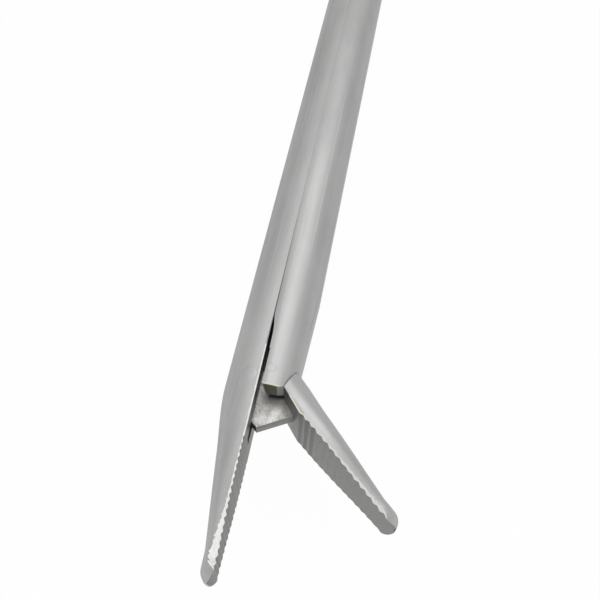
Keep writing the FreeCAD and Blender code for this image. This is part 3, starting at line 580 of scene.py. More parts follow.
def jaw_width(along, length):
    """The whole width, with a round nose in plan."""
    start = length - TIP_WIDTH / 2
    if along <= start:
        return smooth_through([(0, BAR_WIDTH), (MIDDLE_STATION, MIDDLE_WIDTH), (start, TIP_WIDTH)], along)
    share = (along - start) / (TIP_WIDTH / 2)
    return TIP_WIDTH * max(0.0, 1 - share ** NOSE_BLUNTNESS) ** (1 / NOSE_BLUNTNESS)


def jaw_height(along, root, length):
    """The height from the teeth to the back, which rounds off at the nose."""
    start = length - TIP_WIDTH / 2
    height = smooth_through([(0, root), (MIDDLE_STATION, MIDDLE_HEIGHT), (start, TIP_HEIGHT)], along)
    into_nose = along - (length - NOSE_ROUND)
    if into_nose > 0:
        height -= NOSE_ROUND - math.sqrt(max(NOSE_ROUND ** 2 - into_nose ** 2, 0.0))
    return height


def nose_sink(along, length):
    """The nose is broken on its toothed side too, in front of the last groove."""
    into = along - (length - 2 * NOSE_BEVEL)
    return NOSE_BEVEL * (into / (2 * NOSE_BEVEL)) ** 2 if into > 0 else 0.0


def jaw_section(along, root, length, edge, sink, far_sink=None):
    """The section of a jaw; at the very tip it keeps a little height so that it stays a solid."""
    height = jaw_height(along, root, length)
    bevel = nose_sink(along, length)
    sink = min(sink + bevel, height - 0.03)
    far_sink = sink if far_sink is None else min(far_sink + bevel, height - 0.03)
    edge = (edge[0], min(max(edge[1], sink), height - 0.02))
    fullness = smooth_through(JAW_FULLNESS, along)
    return half_section(jaw_width(along, length), height, fullness, edge, 0.0, sink, far_sink)


print("lower teeth", LOWER_TEETH, "upper teeth", UPPER_TEETH)

# %% [markdown]
# The lower bar runs from its rivets in the handle to the nose of the fixed jaw, in one piece. It
# is lofted with few stations along the plain shaft and many along the teeth. The ground edge
# along the jaw widens towards the nose and stops just short of it.
# %% The lower bar and the fixed jaw
SHAFT_STATION = 4.0
WORN_FROM = -3.4
WORN_STEP = 0.16
LOWER_EDGE = [(-16, 0.004), (-8, 0.010), (-3.4, 0.022), (-1.8, 0.045), (0, 0.058), (1.5, 0.06),
              (3.3, 0.068), (4.9, 0.115), (5.6, 0.19), (6.4, 0.29), (6.95, 0.27), (7.12, 0.20),
              (7.2, 0.03), (JAW_LENGTH, 0.02)]
BRIGHT_FROM = -1.8
FACET_END = 7.14
# From here to the nose the groove faces of the fixed jaw are painted darker as painted shade.
SHADED_TEETH_FROM = 4.6
chance = random.Random(12)
stations = []
x = bar_low.x - END
while x < -SHAFT_STATION - 1:
    stations.append((x, 0.0))
    x += SHAFT_STATION
x = WORN_FROM
while x < 2.2:
    stations.append((x, 0.0))
    x += WORN_STEP
stations += tooth_stations(LOWER_TEETH, seed=4)
stations += nose_stations(stations[-1][0], LOWER_LENGTH)

rings = []
for along, sink in stations:
    down = smooth_through(LOWER_EDGE, along)
    if WORN_FROM < along < 7.1:
        down *= chance.uniform(0.72, 1.22)
    edge = (down * 0.75, down)
    if along <= 0:
        section = half_section(BAR_WIDTH, FIXED_HEIGHT, BAR_FULLNESS, edge)
    else:
        section = jaw_section(along, FIXED_HEIGHT, LOWER_LENGTH, edge, sink, sink * FAR_SHARE)
    rings.append(ring(END + along, -1, section))


# The ground facets of the fixed jaw are painted bright as a painted highlight, its tooth face dark as
# painted shade, and the grooves near the nose darker still as painted shade.
def paint_lower(station, side):
    along = stations[station][0]
    if side in NEAR_EDGES or side in FAR_EDGES:
        return EDGE if BRIGHT_FROM < along < FACET_END else STEEL
    if side == SEAM_FACE and along > 0:
        into_groove = station + 1 < len(stations) and stations[station + 1][1] > 0
        return GROOVE_SHADE if into_groove and along > SHADED_TEETH_FROM else TEETH
    return STEEL


lower_bar = as_object(loft(rings, paint_lower), "lower_bar", SHAFT_FINISH)
print("lower bar:", len(rings), "stations of", len(rings[0]), "points")

# %% [markdown]
# Slots are cut after the loft, with an exact boolean, because their walls are plain: the narrow
# slot that the tongue drops into, two slots for the guide studs with a wider step for their
# heads. The studs slide in theirs, so these are longer than the studs by the travel of the bar.
# %% Slots of the lower bar
TONGUE_THICKNESS = 0.60
SLOT_HALF = TONGUE_THICKNESS / 2 + 0.05
SLOT_REAR = 1.25
SLOT_FRONT = 2.0
STUD_RADIUS = 0.45
STUD_HEAD = 0.85
STUD_SEAT = 0.80
STUD_PLAY = 0.06
travel = joints["bar_slide"]["range_m"][1] / MM


def tool(bm):
    """A drawn mesh that will cut; the faces that it leaves are painted dark as painted shade."""
    return as_object(bm, "tool", SHAFT_FINISH, PAINTED_SHADE)


def block(low, high):
    """A cutting block between two corners."""
    outline = [(low[0], low[1]), (high[0], low[1]), (high[0], high[1]), (low[0], high[1])]
    return tool(prism(outline, low[2], high[2]))


def long_slot(near, far, half, low, high):
    """A slot along X with round ends, cut between two heights of Y."""
    outline = []
    for centre, start in ((far, -90), (near, 90)):
        for step in range(13):
            a = math.radians(start + 180 * step / 12)
            outline.append((centre + half * math.cos(a), MIDDLE + half * math.sin(a)))
    return tool(prism(outline, low, high, axis="Y"))


studs = [node_box(name) for name in ("front_guide_stud", "rear_guide_stud")]
stud_places = [(low.x + high.x) / 2 for low, high in studs]
below = bar_low.y - 1
tools = [block((END - SLOT_REAR, below, MIDDLE - SLOT_HALF),
               (END + SLOT_FRONT, SEAM + 1, MIDDLE + SLOT_HALF))]
for place in stud_places:
    tools.append(long_slot(place, place + travel, STUD_RADIUS + STUD_PLAY, below, SEAM + 1))
    tools.append(long_slot(place, place + travel, STUD_HEAD + STUD_PLAY, below,
                           SEAM - STUD_SEAT + STUD_PLAY / 2))
carve(lower_bar, tools)
settle(lower_bar, "fixed_side", "shaft_steel", "fixed_bar")

# %% [markdown]
# The upper bar is lofted the same way. Its front end is what matters: a square end face, a bevel
# above it where the open jaw's heel rests, and a slight lift off the lower bar, which shows as the
# black gap that widens towards the jaws. The end face and its broken corner are painted dark as
# painted shade, and the rim of the end face is worn and painted bright as a painted highlight. The
# corner between the end face and the bevel is broken, so that the heel clears it when the jaws close.
# %% The upper bar
BEVEL_START = 1.08
BEVEL_LENGTH = 1.20
BEVEL_TOP = 1.55
TAPER_LENGTH = 4.0
RIM = 0.05
CORNER_RUN = 0.075
CORNER_DROP = 0.22
LIFT = [(-16, 0.002), (-6, 0.006), (-3.5, 0.02), (-3.1, 0.06), (-2.7, 0.12), (-2.2, 0.145), (-1, 0.155),
        (0, 0.175)]
EDGE_TAKEN = [(-14, 0.006), (-9, 0.022), (-6, 0.045), (-3.5, 0.06), (0, 0.06)]
EDGE_RISE = 0.28


def slider_back(along):
    """Height of the back of the upper bar where the bevel, its broken corner or the taper trims it."""
    if along >= -BEVEL_LENGTH:
        bevel = BEVEL_START - (BEVEL_TOP - BEVEL_START) * along / BEVEL_LENGTH
        return bevel - CORNER_DROP * max(0.0, 1 + along / CORNER_RUN)
    share = min(1.0, (-BEVEL_LENGTH - along) / TAPER_LENGTH)
    return BEVEL_TOP + (SLIDER_HEIGHT - BEVEL_TOP) * share


def slider_section(along, rim=0.0):
    """The section of the upper bar, smaller all round by the rim."""
    taken = smooth_through(EDGE_TAKEN, along)
    lift = smooth_through(LIFT, along)
    return half_section(BAR_WIDTH - 2 * rim, SLIDER_HEIGHT, BAR_FULLNESS, (taken, lift + EDGE_RISE), 1.0,
                        lift + rim, cut=slider_back(along) - rim)


along_slider = []
x = slider_low.x - END
while x < -BEVEL_LENGTH - TAPER_LENGTH - 0.5:
    along_slider.append(x)
    x += SHAFT_STATION
along_slider += [-BEVEL_LENGTH - TAPER_LENGTH, -4.3, -3.6, -3.3, -3.0, -2.8, -2.6, -2.4, -2.2, -1.9, -1.6,
                 -BEVEL_LENGTH - 0.04, -BEVEL_LENGTH + 0.04, -0.9, -0.6, -0.3, -CORNER_RUN, -RIM]
rings = [ring(END + along, 1, slider_section(along)) for along in along_slider]
rings.append(ring(END, 1, slider_section(0.0, RIM)))


# The end face and its broken corner are painted dark as painted shade; the rim ring just behind the end
# face is painted bright as a painted highlight.
def paint_upper(station, side):
    if side == -1:
        return PAINTED_SHADE if station > 0 else STEEL
    if station < len(rings) - 3:
        return STEEL
    ends = rings[station][side], rings[station][(side + 1) % len(rings[station])]
    if min(point.y for point in ends) > SEAM + slider_back(along_slider[station]) - 0.002:
        return PAINTED_SHADE
    return WORN_HIGHLIGHT if station == len(rings) - 2 and side < HALF_COUNT - 1 else STEEL


upper_bar = as_object(loft(rings, paint_upper), "upper_bar", SHAFT_FINISH)
print("upper bar:", len(rings), "stations, front", round(slider_back(0), 2), "mm high")

# %% [markdown]
# The tongue needs room in the upper bar too. On the real bar a narrow saw cuts the slot and a file
# opens it to a flare under the end face, and the tail is sawn open to a fork that takes the handle's
# arm. Booleans cut all three, and the place of the drive pin is read from its box.
# %% Slot, flare and fork of the upper bar
SLOT_ROOF = 1.30
SLIDER_SLOT_HALF = TONGUE_THICKNESS / 2 + 0.22
SLOT_FLARE = 0.37
SLIDER_SLOT_REAR = 1.65
FORK_HALF = 0.65
FORK_DEPTH = 1.3
drive_low, drive_high = node_box("slider_drive_pin")
drive = (drive_low + drive_high) / 2
flare = []
for out, across in ((-0.2, 1.9), (0.10, 1.9), (SLOT_FLARE, SLIDER_SLOT_HALF)):
    flare.append((SEAM + out, MIDDLE + across))
flare += [(y, 2 * MIDDLE - z) for y, z in reversed(flare)]
tools = [
    tool(prism(flare, END - SLIDER_SLOT_REAR, END + 1, axis="X")),
    block((END - SLIDER_SLOT_REAR, SEAM - 1, MIDDLE - SLIDER_SLOT_HALF),
          (END + 1, SEAM + SLOT_ROOF, MIDDLE + SLIDER_SLOT_HALF)),
    block((slider_low.x - 1, SEAM - 1, MIDDLE - FORK_HALF),
          (drive.x + FORK_DEPTH, slider_high.y + 1, MIDDLE + FORK_HALF)),
]
carve(upper_bar, tools)
settle(upper_bar, "slider", "shaft_steel", "sliding_bar")

# %% [markdown]
# The swinging jaw is drawn closed, with the pivot as its origin, and then turned open. Drawn
# closed, its teeth face straight down and the same section function serves it. Its heel is cut to
# the slope of the bevel that it rests on, so the last rings lean over.
# %% The swinging jaw
def closed(x, y):
    """A point of the open jaw, from the end face and the seam, turned into the closed frame."""
    dx, dy = x + PIVOT_BACK, y + PIVOT_DEPTH
    return (dx * math.cos(OPENING) + dy * math.sin(OPENING),
            dy * math.cos(OPENING) - dx * math.sin(OPENING))


HEEL_GAP = 0.008
HEEL_RIM = 0.006
FACE = PIVOT_DEPTH + SEAM_GAP
heel = closed(0, BEVEL_START + HEEL_GAP)
crown = closed(-BEVEL_LENGTH, BEVEL_TOP + HEEL_GAP)
heel_run = (crown[0] - heel[0]) / (crown[1] - heel[1])
FLAT_START = PIVOT_BACK + UPPER_TEETH[0] - UPPER_TEETH[1] / 2
UPPER_EDGE = [(0.5, 0.045), (2.0, 0.05), (3.5, 0.075), (5.5, 0.11), (6.9, 0.13), (7.3, 0.10), (7.45, 0.03),
              (JAW_LENGTH, 0.02)]
# The grooves of the first teeth of the swinging jaw are painted darker as painted shade.
STRIPED_TEETH = 3
chance = random.Random(21)


def upper_jaw_ring(along, sink=0.0, lift=0.0, lean=False, rim=0.0, forward=0.0):
    """A ring of the closed jaw; along counts from the end face. A leaning ring lies on the heel."""
    down = smooth_through(UPPER_EDGE, along) * chance.uniform(0.8, 1.2)
    section = jaw_section(along, HEEL_HEIGHT - SEAM_GAP, UPPER_LENGTH, (down * 0.8, down + lift),
                          sink + lift, sink * FAR_SHARE + lift)
    points = []
    for across, out in section:
        x = along + PIVOT_BACK
        y = FACE + out
        if lean:
            x = heel[0] + heel_run * (y - heel[1]) + forward
        squeeze = 1 - rim / (BAR_WIDTH / 2)
        points.append(Vector((x, y, across * squeeze)))
    return points


rise = heel[1] - FACE
back_along = heel[0] - PIVOT_BACK
jaw_teeth = tooth_stations(UPPER_TEETH, seed=9)
slope_steps = 3
slope = []
for step in range(1, slope_steps):
    share = step / slope_steps
    along = back_along + (FLAT_START - PIVOT_BACK - back_along) * share
    slope.append((along, rise * (1 - share)))
heel_along = back_along - 0.25
jaw_rings = [upper_jaw_ring(heel_along, lift=rise + HEEL_RIM, lean=True, rim=HEEL_RIM),
             upper_jaw_ring(heel_along, lift=rise, lean=True, forward=HEEL_RIM)]
jaw_rings += [upper_jaw_ring(along, lift=lift) for along, lift in slope]
jaw_rings += [upper_jaw_ring(along, sink) for along, sink in jaw_teeth]
nose = nose_stations(jaw_teeth[-1][0], UPPER_LENGTH)
jaw_rings += [upper_jaw_ring(along) for along, _ in nose]
jaw_stations = slope + jaw_teeth + nose


# The heel's end is painted dark as painted shade, the heel's rims and the ground facets bright as painted
# highlight, the tooth face dark and the first grooves darker as painted shade.
def paint_jaw(station, side):
    if side == -1:
        return PAINTED_SHADE if station < 0 else STEEL
    if station < 2:
        return TEETH if side == SEAM_FACE else STEEL
    along = jaw_stations[station - 2][0]
    if side in NEAR_EDGES or side in FAR_EDGES:
        if along < UPPER_TEETH[0]:
            return WORN_HIGHLIGHT
        return EDGE if along < 7.35 else STEEL
    if side == SEAM_FACE:
        tooth, part = divmod(station - 2 - len(slope), 3)
        return GROOVE_SHADE if part == 0 and 0 <= tooth < STRIPED_TEETH else TEETH
    return STEEL


swinging_jaw = as_object(loft(jaw_rings, paint_jaw), "swinging_jaw", JAW_FINISH)
print("jaw:", len(jaw_rings), "stations, heel at", [round(v, 2) for v in heel])

# %% [markdown]
# The tongue is a flat plate in the middle of the jaw. It drops into the slots of both bars, turns
# on the pivot pin and is pushed by the link pin. It is an outline with two round ends, given
# thickness, with its rims just broken, and joined to the jaw.
# %% The tongue of the jaw
EYE_RADIUS = 0.72
ARM_RADIUS = 0.46
ARM_END = math.radians(20)
EYE_END = math.radians(25)
ARM_SHOULDER = 0.30
TONGUE_FOOT = 1.58
TONGUE_SLOPE = 0.56
TONGUE_TRIM = 0.03
TONGUE_LAP = 0.25
LINK_RISE = 0.88
OPEN_LEAN = math.radians(24)


def arc(centre, radius, start, finish, steps=8):
    """Points on an arc between two angles."""
    return [(centre[0] + radius * math.cos(start + (finish - start) * s / steps),
             centre[1] + radius * math.sin(start + (finish - start) * s / steps))
            for s in range(steps + 1)]


upper = closed(TONGUE_FOOT - TONGUE_SLOPE * SLIDER_HEIGHT, SLIDER_HEIGHT)
foot = closed(TONGUE_FOOT, 0)
tongue_floor = PIVOT_DEPTH - FIXED_HEIGHT + TONGUE_TRIM
lean = (upper[0] - foot[0]) / (upper[1] - foot[1])
tongue_top = FACE + 0.09
pin = (LINK_RISE * math.tan(OPENING - OPEN_LEAN), LINK_RISE)
outline = [
    (foot[0] + lean * (tongue_floor - foot[1]), tongue_floor),
    (foot[0] + lean * (tongue_top - foot[1]), tongue_top),
    (heel[0] + TONGUE_LAP, heel[1] + TONGUE_LAP),
    (pin[0] + ARM_RADIUS, pin[1] + ARM_SHOULDER),
]
outline += arc(pin, ARM_RADIUS, math.pi / 2 - ARM_END, math.pi - ARM_END)
outline += arc((0, 0), EYE_RADIUS, math.pi - ARM_END, 1.5 * math.pi - EYE_END)
outline.append((EYE_RADIUS, tongue_floor))
half = TONGUE_THICKNESS / 2
tongue_bm = prism(outline, -half, half, edge=0.03)
# The tongue's narrow rims take the dark tooth finish, a painted shade.
for face in tongue_bm.faces:
    face.material_index = PLATE if abs(face.normal.z) > 0.5 else TEETH
tongue = as_object(tongue_bm, "tongue", JAW_FINISH)
carve(swinging_jaw, [tongue], "UNION")
open_turn = Matrix.Translation(PIVOT) @ Matrix.Rotation(OPENING, 4, "Z")
swinging_jaw.data.transform(open_turn)
settle(swinging_jaw, "jaw", "shaft_steel", "moving_jaw")

# %% [markdown]
# The cross pins are filed flush with the bars, so their ends follow the bar's own rounded side. A
# plain cylinder would stand out of the curve on one side, so each end is a small disc whose points
# are laid on the section.
# %% Flush pins
PIN_ROUNDS = ((1.0, -0.30), (1.0, -0.001), (0.95, 0.0015), (0.5, 0.002), (0.06, 0.002))
PIN_STEPS = 40


def flush_pin(name, node, side, height, body):
    """A pin across a bar of this height; side is -1 in the lower bar and 1 in the upper one."""
    low, high = node_box(node)
    place = (low + high) / 2
    radius = (high.x - low.x) / 2
    rings = []
    for face, rounds in ((-1, PIN_ROUNDS[::-1]), (1, PIN_ROUNDS)):
        for share, proud in rounds:
            loop = []
            for step in range(PIN_STEPS):
                a = 2 * math.pi * step / PIN_STEPS
                x = place.x + radius * share * math.cos(a)
                y = place.y + radius * share * math.sin(a)
                z = half_width(BAR_WIDTH, height, BAR_FULLNESS, side * (y - SEAM)) + proud
                loop.append((x, y, MIDDLE + face * z))
            rings.append(loop)
    settle(as_object(loft(rings), name, [pin_steel]), body, "pin_steel", node)


flush_pin("pivot_pin", "jaw_pivot_pin", -1, FIXED_HEIGHT, "fixed_side")
flush_pin("link_pin", "jaw_link_pin", 1, SLIDER_HEIGHT, "slider")
flush_pin("drive_pin", "slider_drive_pin", 1, SLIDER_HEIGHT, "slider")

# %% [markdown]
# Each handle is a forged ring that flows into its shank. This is the one place where a cage under
# a subdivision surface beats a loft: the ring is a cage of twenty-four columns, a window of four
# faces is left open in its outer side, and the shank's rings of eight points are stitched to it.
# The surface that follows is smooth across the join, as a forging is.
# %% A ring and its shank as one cage
RING_OUTER = 12.5
RING_WALL = 3.0
RING_COLUMNS = 24
BOX_THICKNESS = 2 * MIDDLE
RING_CORNER = (1.45, 2.1)
SHANK_FULLNESS = 0.86
SMOOTHING = 2


def cage_reach(limit, corner):
    """How far out a cage point lies so that the smooth surface reaches the limit."""
    return (6 * limit - 2 * corner) / 4


def ring_section():
    """Eight (outward, height) points of the ring's section."""
    u, v = RING_CORNER
    a, b = cage_reach(RING_WALL / 2, u), cage_reach(BOX_THICKNESS / 2, v)
    return [(a, 0), (u, v), (0, b), (-u, v), (-a, 0), (-u, -v), (0, -b), (u, -v)]


def shank_section(width, thickness):
    """Eight (aside, height) points of the shank, in the order of the window's rim."""
    u, v = width / 2 * SHANK_FULLNESS, thickness / 2 * SHANK_FULLNESS
    a, b = cage_reach(width / 2, u), cage_reach(thickness / 2, v)
    return [(-u, -v), (0, -b), (u, -v), (a, 0), (u, v), (0, b), (-u, v), (-a, 0)]


def ring_and_shank(centre, root, sizes, bow):
    """The cage of one handle. sizes holds (share, width, thickness) along the shank."""
    bm = bmesh.new()
    away = centre.normalized()
    aside = Vector((-away.y, away.x))
    facing = math.atan2(-away.y, -away.x)
    shrink = 2 / 3 + math.cos(2 * math.pi / RING_COLUMNS) / 3
    columns = []
    for column in range(RING_COLUMNS):
        a = facing + 2 * math.pi * column / RING_COLUMNS
        loop = []
        for outward, height in ring_section():
            radius = (RING_OUTER - RING_WALL / 2 + outward) / shrink
            loop.append(bm.verts.new((centre.x + radius * math.cos(a), centre.y + radius * math.sin(a),
                                      MIDDLE + height)))
        columns.append(loop)
    window = {(RING_COLUMNS - 1, 7), (RING_COLUMNS - 1, 0), (0, 7), (0, 0)}
    for column in range(RING_COLUMNS):
        near, far = columns[column], columns[(column + 1) % RING_COLUMNS]
        for row in range(8):
            if (column, row) not in window:
                bm.faces.new((near[row], near[(row + 1) % 8], far[(row + 1) % 8], far[row]))
    left, mid, right = columns[-1], columns[0], columns[1]
    rim = [left[7], mid[7], right[7], right[0], right[1], mid[1], left[1], left[0]]
    bm.verts.remove(mid[0])
    end = centre.length - (RING_OUTER - RING_WALL / 2)
    loops = []
    for share, width, thickness in sizes:
        along = root + share * (end - root)
        off = bow * 4 * share * (1 - share)
        slope = math.atan(bow * 4 * (1 - 2 * share) / (end - root))
        spot = away * along + aside * off
        across = -(aside * math.cos(slope) - away * math.sin(slope))
        loop = []
        for out, height in shank_section(width, thickness):
            at = spot + across * out
            loop.append(bm.verts.new((at.x, at.y, MIDDLE + height)))
        loops.append(loop)
    loops.append(rim)
    for near, far in zip(loops, loops[1:]):
        stitch(bm, near, far)
    bm.faces.new(loops[0])
    piece = as_object(bm, "cage", HANDLE_FINISH)
    modifier = piece.modifiers.new("smooth", "SUBSURF")
    modifier.levels = SMOOTHING
    modifier.render_levels = SMOOTHING
    return bake(piece)


def ring_centre(node):
    """A ring touches the lowest corner of its handle's box, so its centre follows from that."""
    low, _ = node_box(node)
    return Vector((low.x + RING_OUTER, low.y + RING_OUTER))


# The fourth finish paints the walls that the cutters leave dark, as painted shade.
HANDLE_FINISH = [handle_steel, edge_highlight_steel, tooth_shade_steel, end_shade_steel]
thumb_centre = ring_centre("thumb_handle")
finger_centre = ring_centre("finger_handle")
print("rings at", [round(v, 1) for v in thumb_centre], [round(v, 1) for v in finger_centre])

# %% [markdown]
# The rear handle carries a box in which the other handle turns and the lower bar is riveted. It is
# a plate with a rounded underside that sweeps forward to a lip. Stitching it by hand to the round
# shank would be slow, so a boolean joins the two, as if they were brazed.
# %% The rear handle
BOX_RADIUS = 5.0
BOX_SIDE = math.radians(35)
BOX_SWEEP = 24.0
BOX_LIP = 0.35
BOX_EDGE = 0.35
TOP_GAP = 0.05
LEVER_THICKNESS = 2.4
LEVER_PLAY = 0.06
BOSS_RADIUS = 2.8
BOSS_PLAY = 0.4
CHANNEL_BELOW = 2.2
HEAD_RADIUS = 2.3
HEAD_HEIGHT = 0.75
THREAD_RADIUS = 1.15
SEAT_GAP = 0.02
RIVET_RADIUS = 0.55
BOW = 2.2

box_front = node_box("thumb_handle")[1].x
box_top = SEAM - TOP_GAP
side = (BOX_RADIUS * math.cos(BOX_SIDE), -BOX_RADIUS * math.sin(BOX_SIDE))
lip = (box_front, SEAM - FIXED_HEIGHT - BOX_LIP)


def sweep(start, finish, radius, steps=14):
    """An arc between two points that bends to the right on its way."""
    chord = Vector(finish) - Vector(start)
    left = Vector((-chord.y, chord.x)).normalized()
    height = math.sqrt(radius ** 2 - (chord.length / 2) ** 2)
    centre = Vector(start) + chord / 2 - left * height
    first = math.atan2(start[1] - centre.y, start[0] - centre.x)
    last = math.atan2(finish[1] - centre.y, finish[0] - centre.x)
    return arc(centre, radius, first, last, steps)


outline = [(-side[0], box_top)]
outline += arc((0, 0), BOX_RADIUS, math.pi + BOX_SIDE, 2 * math.pi - BOX_SIDE, 22)
outline += sweep(side, lip, BOX_SWEEP)[1:]
outline.append((box_front, box_top))
box = as_object(prism(outline, 0, BOX_THICKNESS, BOX_EDGE, steps=3), "rear_handle", HANDLE_FINISH)
thumb_sizes = [(0.0, 4.3, 4.6), (0.05, 4.3, 4.6), (0.2, 4.0, 4.35), (0.35, 3.75, 4.15),
               (0.55, 3.5, 3.95), (0.7, 3.4, 3.9), (0.82, 3.5, 4.0), (0.9, 3.9, 4.2)]
shank = ring_and_shank(thumb_centre, 2.6, thumb_sizes, -BOW)
carve(box, [shank], "UNION")
print("box and shank:", len(box.data.polygons), "faces")

# %% [markdown]
# Then the box is milled: a channel that opens downwards as far as the lever swings, a seat with the
# bar's own section, a recess for the head of the screw and a hole for its thread. Booleans do this
# the way a mill does, so every wall meets the next in a crisp edge.
# %% Channel, seat and recess of the box
clear = BOSS_RADIUS + BOSS_PLAY
channel = [(-clear, SEAM + 1), (-clear - 0.6, 0), (-clear - 3.4, -BOX_RADIUS - CHANNEL_BELOW),
           (clear + 0.4, -BOX_RADIUS - CHANNEL_BELOW), (clear, SEAM + 1)]
half = LEVER_THICKNESS / 2 + LEVER_PLAY
tools = [tool(prism(channel, MIDDLE - half, MIDDLE + half))]
seat = half_section(BAR_WIDTH + 2 * SEAT_GAP, FIXED_HEIGHT + SEAT_GAP)
seat_rings = [ring(x, -1, seat) for x in (bar_low.x - SEAT_GAP, box_front + 1)]
tools.append(tool(loft(seat_rings)))
recess = [(HEAD_RADIUS + LEVER_PLAY, BOX_THICKNESS - HEAD_HEIGHT),
          (HEAD_RADIUS + LEVER_PLAY, BOX_THICKNESS + 1)]
tools.append(tool(lathe(recess, (0, 0, 0), (0, 0, 1), 64)))
thread = [(THREAD_RADIUS + 0.01, -1), (THREAD_RADIUS + 0.01, 1)]
tools.append(tool(lathe(thread, (0, 0, 0), (0, 0, 1))))
carve(box, tools)
settle(box, "fixed_side", "handle_steel", "thumb_handle")

# %% [markdown]
# The front handle is a lever. Its flat neck and boss turn inside the box, its thin upper arm
# reaches into the forked tail of the upper bar, and its shank swells to full thickness below the
# box.
# %% The front handle
ARM_THICKNESS = 1.15
ARM_FOOT = 1.7
ARM_HEAD = 0.8
NECK_WIDTH = 4.3
SHANK_START = 9.2
LEVER_EDGE = 0.15
swing = math.radians(joints["handle_squeeze"]["range_deg"][1])
arm_length = drive.y


def spun(points, angle):
    """Points turned about the handle pivot."""
    return [(x * math.cos(angle) - y * math.sin(angle), x * math.sin(angle) + y * math.cos(angle))
            for x, y in points]


def lever_plate(outline, thickness):
    """A plate in the handle's middle plane."""
    low, high = MIDDLE - thickness / 2, MIDDLE + thickness / 2
    return as_object(prism(outline, low, high, LEVER_EDGE), "plate", HANDLE_FINISH)


away = finger_centre.normalized()
aside = Vector((-away.y, away.x))
neck = []
for along, out in ((0, -0.5), (SHANK_START + 1.2, -0.47), (SHANK_START + 1.2, 0.47), (0, 0.5)):
    spot = away * along + aside * (out * NECK_WIDTH)
    neck.append((spot.x, spot.y))
arm = [(-ARM_FOOT, 0), (ARM_FOOT, 0), (ARM_HEAD, arm_length)]
arm += arc((0, arm_length), ARM_HEAD, 0, math.pi, 14)
arm.append((-ARM_HEAD, arm_length))
lever = lever_plate(arc((0, 0), BOSS_RADIUS, 0, 2 * math.pi * 47 / 48, 47), LEVER_THICKNESS)
lever.name = "front_handle"
finger_sizes = [(0.0, 4.1, 2.6), (0.03, 4.3, 4.3), (0.07, 4.35, 4.6), (0.2, 4.05, 4.4),
                (0.35, 3.75, 4.15), (0.55, 3.5, 3.95), (0.7, 3.4, 3.9), (0.8, 3.5, 4.0), (0.88, 3.9, 4.2)]
shank = ring_and_shank(finger_centre, SHANK_START, finger_sizes, BOW)
carve(lever, [lever_plate(neck, LEVER_THICKNESS), lever_plate(spun(arm, swing / 2), ARM_THICKNESS), shank],
      "UNION")
settle(lever, "finger_lever", "handle_steel", "finger_handle")

# %% [markdown]
# The small turned parts come off one lathe function. The joint screw has a thread, a shoulder and a
# flat head with a broken rim. Its driver slot stands across the handles, as it does when a screw is
# driven home.
# %% The joint screw
SCREW_SLOT = 0.6
SLOT_DEPTH = 0.4
SLOT_TURN = math.radians(28)
SCREW_RADIUS = 1.4
BREAK = 0.07

profile = [(THREAD_RADIUS - BREAK, 0), (THREAD_RADIUS, BREAK), (THREAD_RADIUS, MIDDLE),
           (SCREW_RADIUS, MIDDLE), (SCREW_RADIUS, BOX_THICKNESS - HEAD_HEIGHT),
           (HEAD_RADIUS, BOX_THICKNESS - HEAD_HEIGHT), (HEAD_RADIUS, BOX_THICKNESS - 2 * BREAK),
           (HEAD_RADIUS - BREAK, BOX_THICKNESS - BREAK / 2), (HEAD_RADIUS - 3 * BREAK, BOX_THICKNESS),
           (0.05, BOX_THICKNESS)]
screw = as_object(lathe(profile, (0, 0, 0), (0, 0, 1), 72), "joint_screw", [screw_steel, end_shade_steel])
half = SCREW_SLOT / 2
reach = HEAD_RADIUS + 1
slot = spun([(-reach, -half), (reach, -half), (reach, half), (-reach, half)], SLOT_TURN)
slot = prism(slot, BOX_THICKNESS - SLOT_DEPTH, BOX_THICKNESS + 1)
# The walls of the driver slot are painted dark as painted shade.
carve(screw, [as_object(slot, "tool", [screw_steel, end_shade_steel], 1)])
settle(screw, "fixed_side", "screw_steel", "handle_pivot_screw")

# %% [markdown]
# Two headed studs are set in the upper bar and run in the slots of the lower one. They hold the bars
# together and let one slide. Their heads lie in the wider step of the slots.
# %% The guide studs
for name, node, place in zip(("front_stud", "rear_stud"), ("front_guide_stud", "rear_guide_stud"),
                             stud_places):
    low, high = node_box(node)
    head = SEAM - low.y
    profile = [(STUD_RADIUS, SEAM - high.y), (STUD_RADIUS, STUD_SEAT), (STUD_HEAD - BREAK / 2, STUD_SEAT),
               (STUD_HEAD, STUD_SEAT + BREAK / 2), (STUD_HEAD, head - BREAK),
               (STUD_HEAD - BREAK, head - 0.01), (0.05, head)]
    stud = as_object(lathe(profile, (place, SEAM, MIDDLE), (0, -1, 0)), name, [pin_steel])
    settle(stud, "slider", "pin_steel", node)

# %% [markdown]
# Two rivets hold the rear end of the lower bar in its box. They are ground down until only a fine
# ring shows on each side. Both go into one mesh, because they are one node of the frame.
# %% The rivets
PROUD = 0.004
RIVET_BREAK = 0.03
rivet_low, rivet_high = node_box("tang_rivets")
bm = bmesh.new()
for place in (rivet_low.x + RIVET_RADIUS, rivet_high.x - RIVET_RADIUS):
    profile = [(0.05, -PROUD), (RIVET_RADIUS - RIVET_BREAK, -PROUD), (RIVET_RADIUS, RIVET_BREAK),
               (RIVET_RADIUS, BOX_THICKNESS - RIVET_BREAK),
               (RIVET_RADIUS - RIVET_BREAK, BOX_THICKNESS + PROUD), (0.05, BOX_THICKNESS + PROUD)]
    part = lathe(profile, (place, (rivet_low.y + rivet_high.y) / 2, 0), (0, 0, 1))
    part_mesh = bpy.data.meshes.new("rivet")
    part.to_mesh(part_mesh)
    part.free()
    bm.from_mesh(part_mesh)
    bpy.data.meshes.remove(part_mesh)
settle(as_object(bm, "box_rivets", [pin_steel]), "fixed_side", "pin_steel", "tang_rivets")

